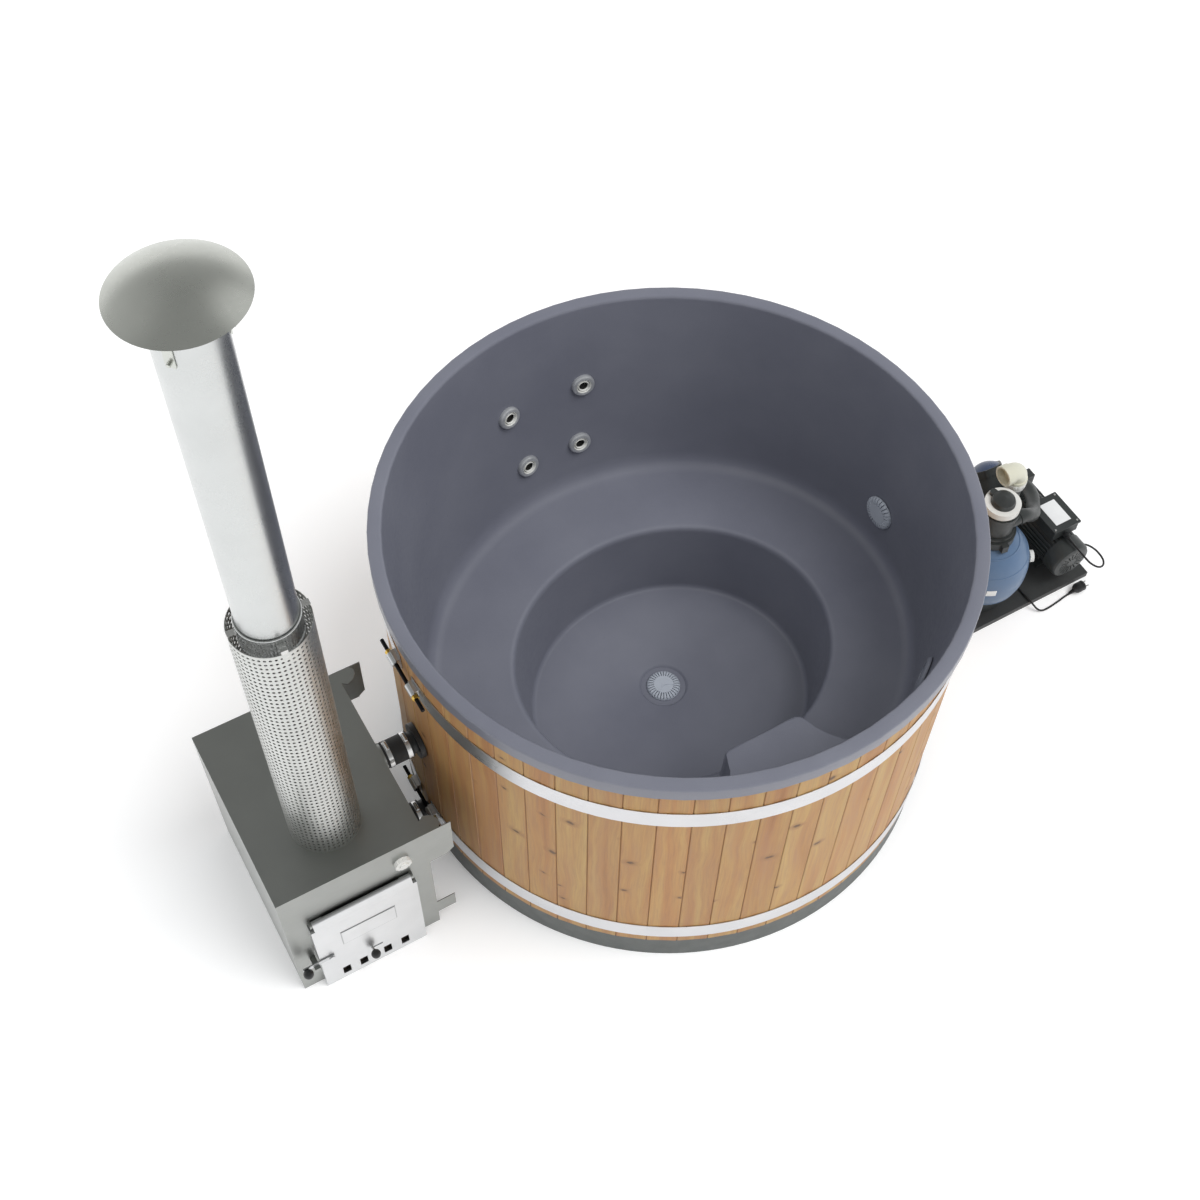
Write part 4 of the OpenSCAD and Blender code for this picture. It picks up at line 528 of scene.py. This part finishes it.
COIL = dict(x=1600, y=185, z=29, r=38.5, pitch=9, rise=8.4, layers=4, turns=7.25, steps=24)


def smooth(points, step):
    """Points at even steps on a curve through the given ones."""
    p = [Vector(q) for q in points]
    out = []
    for i in range(len(p) - 1):
        a, b, c, d = p[max(i - 1, 0)], p[i], p[i + 1], p[min(i + 2, len(p) - 1)]
        n = max(1, round((c - b).length / step))
        for k in range(n):
            s = k / n
            out.append(0.5 * (2 * b + (c - a) * s + (2 * a - 5 * b + 4 * c - d) * s * s
                              + (3 * b - a - 3 * c + d) * s ** 3))
    return out + [p[-1]]


def coil_path():
    """The coil winds inwards and outwards by turns, and climbs a layer between, with a straight lead at each end."""
    c = COIL
    layer = (c["turns"] - (c["layers"] - 1) / 2) / c["layers"]
    block = layer + 0.5
    pts = []
    for i in range(int(c["turns"] * c["steps"]) + 1):
        u = i / c["steps"]
        k = min(c["layers"] - 1, math.floor(u / block))
        w = u - k * block
        s = min(w, layer)
        r = c["r"] - c["pitch"] * (s if k % 2 == 0 else layer - s)
        climb = max(0, w - layer) / 0.5
        a = 2 * math.pi * u
        pts.append(Vector((c["x"] + r * math.cos(a), c["y"] + r * math.sin(a), c["z"] + c["rise"] * (k + climb))))
    return [pts[0] - Vector((0, STEP, 0))] + pts + [pts[-1] - Vector((STEP, 0, 0))]


lead_path = smooth(OUT, STEP)[:-1] + coil_path() + smooth(IN, STEP)[1:]
lead_path = [p / 1000 for p in lead_path]
lead = tube("mains_lead", lead_path, [LEAD / 2] * len(lead_path), "cable", 12)
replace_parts(lead, "lead_out", "lead_coil", "lead_in")

# strain relief: a ribbed taper where the lead leaves the gland
RELIEF_LENGTH, RELIEF_R, RELIEF_TAPER, RIB = 0.036, 0.0062, 0.0022, 0.0005
relief_path = [p for p in lead_path[:9] if (p - lead_path[0]).length < RELIEF_LENGTH]
relief_r = [RELIEF_R - RELIEF_TAPER * i / (len(relief_path) - 1) for i in range(len(relief_path))]
fine_path, fine_r = [], []
for i in range(len(relief_path) - 1):
    for k in range(6):
        s = k / 6
        fine_path.append(relief_path[i].lerp(relief_path[i + 1], s))
        rib = RIB if (i * 6 + k) % 5 < 3 else 0.0
        fine_r.append(relief_r[i] + (relief_r[i + 1] - relief_r[i]) * s + rib)
tube("strain_relief", fine_path, fine_r, "black", 16)


# ---- the heat guard with its straight rows of holes
GUARD_COLS, GUARD_ROWS = 48, 58
GUARD_MARGIN = 0.006
GUARD_HOLE_R = 0.0042


def guard_mesh():
    """A skin of cells with an eight-sided hole in each, and a plain band at both ends."""
    lo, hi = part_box("guard")
    r_out = (hi.x - lo.x) / 2
    cx, cy = (hi.x + lo.x) / 2, (hi.y + lo.y) / 2
    z0, z1 = lo.z + GUARD_MARGIN, hi.z - GUARD_MARGIN
    du, dv = 2 * math.pi / GUARD_COLS, (z1 - z0) / GUARD_ROWS
    index, verts, faces = {}, [], []

    def at(u, z):
        key = (round((u / du * 4)) % (GUARD_COLS * 4), round(z * 1e6))
        if key not in index:
            index[key] = len(verts)
            verts.append((cx + r_out * math.cos(u), cy + r_out * math.sin(u), z))
        return index[key]

    for j in range(GUARD_ROWS):
        za, zb = z0 + j * dv, z0 + (j + 1) * dv
        for i in range(GUARD_COLS):
            u = i * du
            zc = (za + zb) / 2
            outer = [at(u + du / 2, zc), at(u + du / 2, zb), at(u, zb), at(u - du / 2, zb),
                     at(u - du / 2, zc), at(u - du / 2, za), at(u, za), at(u + du / 2, za)]
            inner = []
            for k in range(8):
                a = math.pi / 4 * k
                w = u + GUARD_HOLE_R * math.cos(a) / r_out
                inner.append(len(verts))
                verts.append((cx + r_out * math.cos(w), cy + r_out * math.sin(w),
                              zc + GUARD_HOLE_R * math.sin(a)))
            for k in range(8):
                n = (k + 1) % 8
                faces.append((outer[k], outer[n], inner[n], inner[k]))
    for za, zb in ((lo.z, z0), (z1, hi.z)):
        for i in range(GUARD_COLS * 2):
            a, b = i * du / 2, (i + 1) * du / 2
            faces.append((at(a, za), at(b, za), at(b, zb), at(a, zb)))
    return verts, faces


guard = piece("guard_perforated", *guard_mesh(), "guard")
thicken(guard, 0.0015, -1)
split(guard, 50)
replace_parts(guard, "guard")


# ---- the plug: round earthed plug with a ribbed grip and a waisted body
PLUG_X, PLUG_Y, PLUG_Z = 1.548, -0.302, 0.0195
PLUG_GRIP_Z, PLUG_GRIP_SLOPE = 0.0082, 0.28
GRIP_RIBS, RIB_PITCH, RIB_DEPTH, RIB_GROWTH = 9, 0.0024, 0.0008, 0.0004
PIN_APART, PIN_FROM = 0.0095, 0.0615
grip_profile = []
for i in range(GRIP_RIBS):
    d, r = 0.0002 + i * RIB_PITCH, 0.0052 + i * RIB_GROWTH
    grip_profile += [(d, r), (d + 0.0014, r), (d + 0.0016, r - RIB_DEPTH), (d + 0.0022, r - RIB_DEPTH)]
PLUG_PROFILE = [(0.018, 0.0085), (0.022, 0.0125), (0.027, 0.0165), (0.033, 0.0185), (0.045, 0.0188),
                (0.052, 0.0178), (0.0535, 0.0186), (0.0605, 0.0188), (0.0618, 0.018), (0.062, 0.0165)]
PIN_PROFILE = [(0.0, 0.0024), (0.0185, 0.0024), (0.0195, 0.0016)]
grip = turned("plug_grip", grip_profile, (PLUG_X, PLUG_Y, PLUG_GRIP_Z), (1, 0, PLUG_GRIP_SLOPE), "black", 24)
shell = turned("plug_shell", PLUG_PROFILE, (PLUG_X, PLUG_Y, PLUG_Z), (1, 0, 0), "black", 40)
pins = [turned("pin", PIN_PROFILE, (PLUG_X + PIN_FROM, PLUG_Y + side * PIN_APART, PLUG_Z), (1, 0, 0), "screw", 16)
        for side in (-1, 1)]
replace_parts(shell, "plug")


# ---- the stove door's folded cover over its hinge rod, and its bare raised plate
def extruded(name, section, x0, x1, key, body):
    """A closed section of (y, z) points drawn along X."""
    n = len(section)
    verts = [(x, y, z) for x in (x0, x1) for y, z in section]
    faces = [(k, (k + 1) % n, n + (k + 1) % n, n + k) for k in range(n)]
    faces += [tuple(range(n))[::-1], tuple(range(n, 2 * n))]
    split(piece(name, verts, faces, key, body), 25)


rlo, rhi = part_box("hinge_rod")
rod_x, rod_y, rod_z = (rlo.x + rhi.x) / 2, (rlo.y + rhi.y) / 2, (rlo.z + rhi.z) / 2
# The door's front, and the height at which its cover leaves it. Then the cover: its outer radius, its sheet,
# its foot on the door, the angle where it ends, and how much shorter than the rod it is at each end
front, brow = rod_y - 0.0178, rod_z - 0.021
COVER_R, COVER_SHEET, COVER_FOOT, COVER_END, COVER_SHORT = 0.0103, 0.0003, 0.012, 70, 0.0085
rise = math.hypot(brow - rod_z, front - rod_y)
slant = 2 * math.pi + math.atan2(brow - rod_z, front - rod_y) - math.acos(COVER_R / rise)
arc = [slant + (math.radians(COVER_END) - slant) * k / 12 for k in range(13)]
outer = [(front - 0.0001, brow - COVER_FOOT), (front - 0.0001, brow)]
outer += [(rod_y + COVER_R * math.cos(a), rod_z + COVER_R * math.sin(a)) for a in arc]
inner = [(front + COVER_SHEET, brow - COVER_FOOT), (front + COVER_SHEET, brow)]
inner += [(rod_y + (COVER_R - COVER_SHEET) * math.cos(a), rod_z + (COVER_R - COVER_SHEET) * math.sin(a))
          for a in arc]
cover_half = (rhi.x - rlo.x) / 2 - COVER_SHORT
extruded("door_fold", outer + inner[::-1], rod_x - cover_half, rod_x + cover_half, "door", "door")


# ---- jets: a flange and a collar on the wall, and an open white cup that turns in them; the cup's bore is lined near-black as painted shade of the deep hole
# Each profile is pairs of distance along the wall's normal from the ball's middle, and radius
RING = [(-0.0042, 0.0395), (0.0012, 0.0395), (0.0048, 0.0388), (0.0076, 0.0372), (0.0092, 0.0352), (0.0098, 0.0335),
        (0.0099, 0.0318), (0.0094, 0.0312), (0.0094, 0.0306), (0.0101, 0.0300), (0.0104, 0.0278), (0.0101, 0.0268),
        (0.0092, 0.0262), (0.0, 0.0256), (-0.0042, 0.0256)]
COLLAR = [(0.0084, 0.0256), (0.0092, 0.0254), (0.0094, 0.0246), (0.0086, 0.0238), (0.0045, 0.0218), (0.0, 0.0214),
          (-0.0042, 0.0214), (-0.0042, 0.0255)]
EYE_R = 0.0206
EYE = [(EYE_R * math.cos(math.radians(a)), EYE_R * math.sin(math.radians(a))) for a in range(150, 67, -6)]
EYE += [(0.0084, 0.0184), (0.0086, 0.0178), (0.0078, 0.0174), (0.0058, 0.0166), (0.0042, 0.0159),
        (0.0032, 0.0152), (-0.0114, 0.0152), (-0.0114, 0.0002)]
# The bore's lining is near-black: painted shade that stands for the depth of the hole
WELL = [(-0.0113, 0.0001), (-0.0113, 0.0151), (0.003, 0.0151), (0.0034, 0.0147), (0.003, 0.0143),
        (-0.0072, 0.0134), (-0.008, 0.0104), (-0.0062, 0.0086), (-0.0062, 0.0072), (-0.0078, 0.0062),
        (-0.0108, 0.0058), (-0.0112, 0.0001)]
# Points of a CAD ball beyond this distance belong to the nozzle's tip, which shows the way it faces
TIP_FROM = 0.0213
rings, collars = [], []
for joint in frame["joints"]:
    if not joint["name"].startswith("nozzle_turn"):
        continue
    k = joint["name"][-1]
    mid = Vector(joint["pos_m"])
    tip = [v.co - mid for v in NODES[f"jet_ball_{k}"].data.vertices if (v.co - mid).length > TIP_FROM]
    axis = sum(tip, Vector()).normalized()
    rings.append(turned_loop(RING, mid, axis, 56))
    collars.append(turned_loop(COLLAR, mid, axis, 48))
    eye = turned(f"jet_eye_{k}", EYE, mid, axis, "white", 40, f"nozzle_{k}")
    split(eye, 35)
    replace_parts(eye, f"jet_ball_{k}")
    split(turned(f"jet_bore_{k}", WELL, mid, axis, "bore", 32, f"nozzle_{k}"), 35)
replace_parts(gathered("jet_flanges", rings, "ring"), "jet_rings")
gathered("jet_collars", collars, "white")


# ---- the elbow and its union on the valve's port, with their real wall
elo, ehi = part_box("elbow")
alo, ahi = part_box("port_adapter")
port_x, port_y = (alo.x + ahi.x) / 2, (alo.y + ahi.y) / 2
ELBOW_BEND = 0.042
ELBOW_STEPS = 14
ELBOW_SIDES = 36
elbow_z = ehi.z - 0.043
# The spine goes up from the port, round the bend and along to the socket's rim
spine = [Vector((port_x, port_y, elo.z + 0.0002)), Vector((port_x, port_y, elbow_z - ELBOW_BEND - 0.001))]
for i in range(ELBOW_STEPS + 1):
    a = math.pi / 2 * i / ELBOW_STEPS
    spine.append(Vector((port_x - ELBOW_BEND + ELBOW_BEND * math.cos(a), port_y,
                         elbow_z - ELBOW_BEND + ELBOW_BEND * math.sin(a))))
spine += [Vector((x, port_y, elbow_z))
          for x in (port_x - ELBOW_BEND - 0.001, elo.x + 0.03, elo.x + 0.029, elo.x + 0.0015, elo.x)]
rim = len(spine) - 1
# The wall as pairs of a place on the spine and a radius: outside to the socket's rim, then back inside
wall = [(0, 0.0375), (1, 0.0375)] + [(i, 0.0335) for i in range(2, rim - 2)]
wall += [(rim - 2, 0.0378), (rim - 1, 0.0378), (rim, 0.0365), (rim, 0.0318), (rim - 1, 0.0304), (rim - 2, 0.03),
         (rim - 2, 0.0255), (ELBOW_STEPS + 3, 0.0252), (ELBOW_STEPS, 0.025), (ELBOW_STEPS - 3, 0.025),
         (ELBOW_STEPS - 6, 0.025)]
spots = frames(spine)
verts = []
for i, r in wall:
    verts += circle(*spots[i], r, ELBOW_SIDES)
fitting = piece("elbow_fitting", verts, skin(len(wall), ELBOW_SIDES), "cream")
split(fitting, 35)
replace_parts(fitting, "elbow")

tall = ahi.z - alo.z
# Pairs of a share of the union's height and a radius; its nut, rows 6 and 7, has grip notches
union_profile = [(0.0, 0.034), (0.002 / tall, 0.0352), (0.36, 0.0352), (0.38, 0.0325), (0.44, 0.0325),
                 (0.47, 0.0365), (0.52, 0.0385), (0.93, 0.0385), (0.97, 0.037), (1.0, 0.036)]
UNION_SIDES = 72
NOTCH = 0.0014
verts = []
for i, (share, r) in enumerate(union_profile):
    for k in range(UNION_SIDES):
        a = 2 * math.pi * k / UNION_SIDES
        q = r - (NOTCH if i in (6, 7) and k % 6 < 2 else 0.0)
        verts.append((port_x + q * math.cos(a), port_y + q * math.sin(a), alo.z + tall * share))
union = piece("port_union", verts, skin(len(union_profile), UNION_SIDES), "white")
split(union, 32)
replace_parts(union, "port_adapter")


# ---- small trim: the bare plate and screws of the terminal box, the bare label of the tank
def slab(name, lo, hi, key, bevel=0.0006, body="tub"):
    """A thin plate with rounded edges."""
    bm = bmesh.new()
    bmesh.ops.create_cube(bm, size=1.0)
    for v in bm.verts:
        v.co = Vector([lo[i] + (v.co[i] + 0.5) * (hi[i] - lo[i]) for i in range(3)])
    bmesh.ops.bevel(bm, geom=list(bm.edges), offset=bevel, segments=2, affect="EDGES")
    me = bpy.data.meshes.new(name)
    bm.to_mesh(me)
    bm.free()
    return placed(name, me, key, body)


# A domed head with a dip in its middle, as shares of its radius; its foot stands in the box's lid
SCREW = [(0.25, 0.98), (0.45, 0.8), (0.56, 0.5), (0.4, 0.3), (0.38, 0.02)]
SCREW_R, SCREW_INSET, SCREW_SUNK = 0.0042, 0.011, 0.0005
PLATE_HALF_X, PLATE_HALF_Y = 0.033, 0.05
blo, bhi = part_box("terminal_box")
box_x, box_y = (blo.x + bhi.x) / 2, (blo.y + bhi.y) / 2
slab("box_plate", (box_x - PLATE_HALF_X, box_y - PLATE_HALF_Y, bhi.z - 0.0002),
     (box_x + PLATE_HALF_X, box_y + PLATE_HALF_Y, bhi.z + 0.001), "label")
head = [(-SCREW_SUNK, SCREW_R)] + [(SCREW_R * d, SCREW_R * r) for d, r in SCREW]
for i, (sx, sy) in enumerate(((-1, -1), (-1, 1), (1, -1), (1, 1))):
    at = (box_x + sx * ((bhi.x - blo.x) / 2 - SCREW_INSET), box_y + sy * ((bhi.y - blo.y) / 2 - SCREW_INSET), bhi.z)
    turned(f"box_screw_{i + 1}", head, at, (0, 0, 1), "screw", 20)

# The bare plate on the stove's door: a raised frame and the face on it; the frame is a darker grey as painted shade
# outlining the plate
DOOR_PLATE = ((-1.3345, 0.2445), (-1.154, 0.332))
PLATE_RIM = 0.003
(x0, z0), (x1, z1) = DOOR_PLATE
slab("door_plate", (x0, front - 0.0012, z0), (x1, front + 0.0002, z1), "badge", 0.0006, "door")
slab("door_plate_face", (x0 + PLATE_RIM, front - 0.0018, z0 + PLATE_RIM),
     (x1 - PLATE_RIM, front - 0.001, z1 - PLATE_RIM), "door", 0.0005, "door")

# The tank's bare label follows its curved skin
LABEL_COLS, LABEL_ROWS = 12, 6
LABEL_FROM_A, LABEL_WIDE_A = -124, 13
LABEL_Z, LABEL_H = 0.209, 0.028
tank_skin = NODES["tank"].data
tree = BVHTree.FromPolygons([v.co for v in tank_skin.vertices], [p.vertices[:] for p in tank_skin.polygons])
verts = []
for j in range(LABEL_ROWS + 1):
    for i in range(LABEL_COLS + 1):
        a = math.radians(LABEL_FROM_A + LABEL_WIDE_A * i / LABEL_COLS)
        out_dir = Vector((math.cos(a), math.sin(a), 0))
        start = Vector((*TANK_AT, LABEL_Z + LABEL_H * j / LABEL_ROWS)) + out_dir * 0.3
        hit = tree.ray_cast(start, -out_dir)[0] or start
        verts.append(hit + out_dir * 0.0004)
row = LABEL_COLS + 1
faces = [(j * row + i, j * row + i + 1, (j + 1) * row + i + 1, (j + 1) * row + i)
         for j in range(LABEL_ROWS) for i in range(LABEL_COLS)]
thicken(piece("tank_label", verts, faces, "label"), 0.0005, 0)


# ---- floor, light and world
def wired(tree, kind, **ins):
    """A node with its inputs linked or set, each by its name or by i and its number."""
    n = tree.nodes.new("ShaderNode" + kind)
    for k, v in ins.items():
        key = int(k[1:]) if k[1:].isdigit() else k
        if isinstance(v, bpy.types.NodeSocket):
            tree.links.new(v, n.inputs[key])
        else:
            n.inputs[key].default_value = v
    return n


def either(tree, a, b):
    """One where a ray is of either of two kinds."""
    n = wired(tree, "Math", i0=a, i1=b)
    n.operation = "MAXIMUM"
    return n.outputs[0]


FLOOR_HALF, FLOOR_Z = 30, -0.0002
floor_mat = bpy.data.materials.new("floor")
floor_mat.use_nodes = True
ft = floor_mat.node_tree
ft.nodes.clear()
rays = wired(ft, "LightPath").outputs
seen = either(ft, either(ft, rays["Is Camera Ray"], rays["Is Glossy Ray"]), rays["Is Transmission Ray"])
dark = wired(ft, "Emission", Strength=0.0)
glow = wired(ft, "Emission", Strength=0.16)
lift = wired(ft, "MixShader", i0=seen, i1=dark.outputs[0], i2=glow.outputs[0])
matt = wired(ft, "BsdfDiffuse", Color=(0.93, 0.93, 0.93, 1))
both = wired(ft, "AddShader", i0=matt.outputs[0], i1=lift.outputs[0])
wired(ft, "OutputMaterial", Surface=both.outputs[0])
floor_mesh = bpy.data.meshes.new("floor")
corners = [(x * FLOOR_HALF, y * FLOOR_HALF, FLOOR_Z) for x, y in ((-1, -1), (1, -1), (1, 1), (-1, 1))]
floor_mesh.from_pydata(corners, [], [(0, 1, 2, 3)])
floor_mesh.materials.append(floor_mat)
floor = bpy.data.objects.new("floor", floor_mesh)
scene.collection.objects.link(floor)

# The world is white to the camera and through glass, an even light to matt surfaces, and a studio with
# a darker ceiling and two soft boxes to gloss and metal
world = bpy.data.worlds.new("studio")
scene.world = world
world.use_nodes = True
wt = world.node_tree
wt.nodes.clear()
coord = wired(wt, "TexCoord").outputs["Generated"]
ceiling = wired(wt, "ValToRGB", i0=wired(wt, "SeparateXYZ", i0=coord).outputs[2])
stops = ceiling.color_ramp.elements
stops[0].position, stops[0].color = 0.2, (1, 1, 1, 1)
stops[1].position, stops[1].color = 0.85, (0.3, 0.305, 0.3, 1)
stops.new(0.42).color = (0.4, 0.405, 0.4, 1)


def softbox(direction, inner, outer, strength):
    """A soft bright patch of the studio, full within one angle and gone beyond another."""
    dot = wired(wt, "VectorMath", i0=coord, i1=Vector(direction).normalized())
    dot.operation = "DOT_PRODUCT"
    patch = wired(wt, "MapRange", i0=dot.outputs["Value"], i1=math.cos(math.radians(outer)),
                  i2=math.cos(math.radians(inner)), i4=strength)
    patch.interpolation_type = "SMOOTHSTEP"
    return patch.outputs[0]


boxes = wired(wt, "Math", i0=softbox((-0.5, 0.55, 0.75), 8, 30, 0.12), i1=softbox((0.75, 0.1, 0.75), 8, 28, 0.4))
boxes.operation = "ADD"
studio = wired(wt, "VectorMath", i0=ceiling.outputs[0], i1=boxes.outputs[0])
studio.operation = "ADD"
gloss = wired(wt, "Background", Color=studio.outputs[0], Strength=1.0)
diffuse = wired(wt, "Background", Color=(0.97, 0.985, 1.0, 1), Strength=0.52)
white = wired(wt, "Background", Color=(1, 1, 1, 1), Strength=1.0)
rays = wired(wt, "LightPath").outputs
lit = wired(wt, "MixShader", i0=rays["Is Glossy Ray"], i1=diffuse.outputs[0], i2=gloss.outputs[0])
clear = either(wt, rays["Is Camera Ray"], rays["Is Transmission Ray"])
shown = wired(wt, "MixShader", i0=clear, i1=lit.outputs[0], i2=white.outputs[0])
wired(wt, "OutputWorld", Surface=shown.outputs[0])


def sun(name, direction, strength, spread):
    """A wide soft sun that gloss and metal don't mirror."""
    d = bpy.data.lights.new(name, "SUN")
    d.energy = strength
    d.angle = math.radians(spread)
    o = bpy.data.objects.new(name, d)
    scene.collection.objects.link(o)
    o.rotation_mode = "QUATERNION"
    o.rotation_quaternion = (-Vector(direction)).to_track_quat("-Z", "Y")
    o.visible_glossy = False


sun("key", (0.6, -0.7, 1.6), 1.75, 35)
sun("fill", (-0.9, -0.2, 1.4), 0.48, 50)
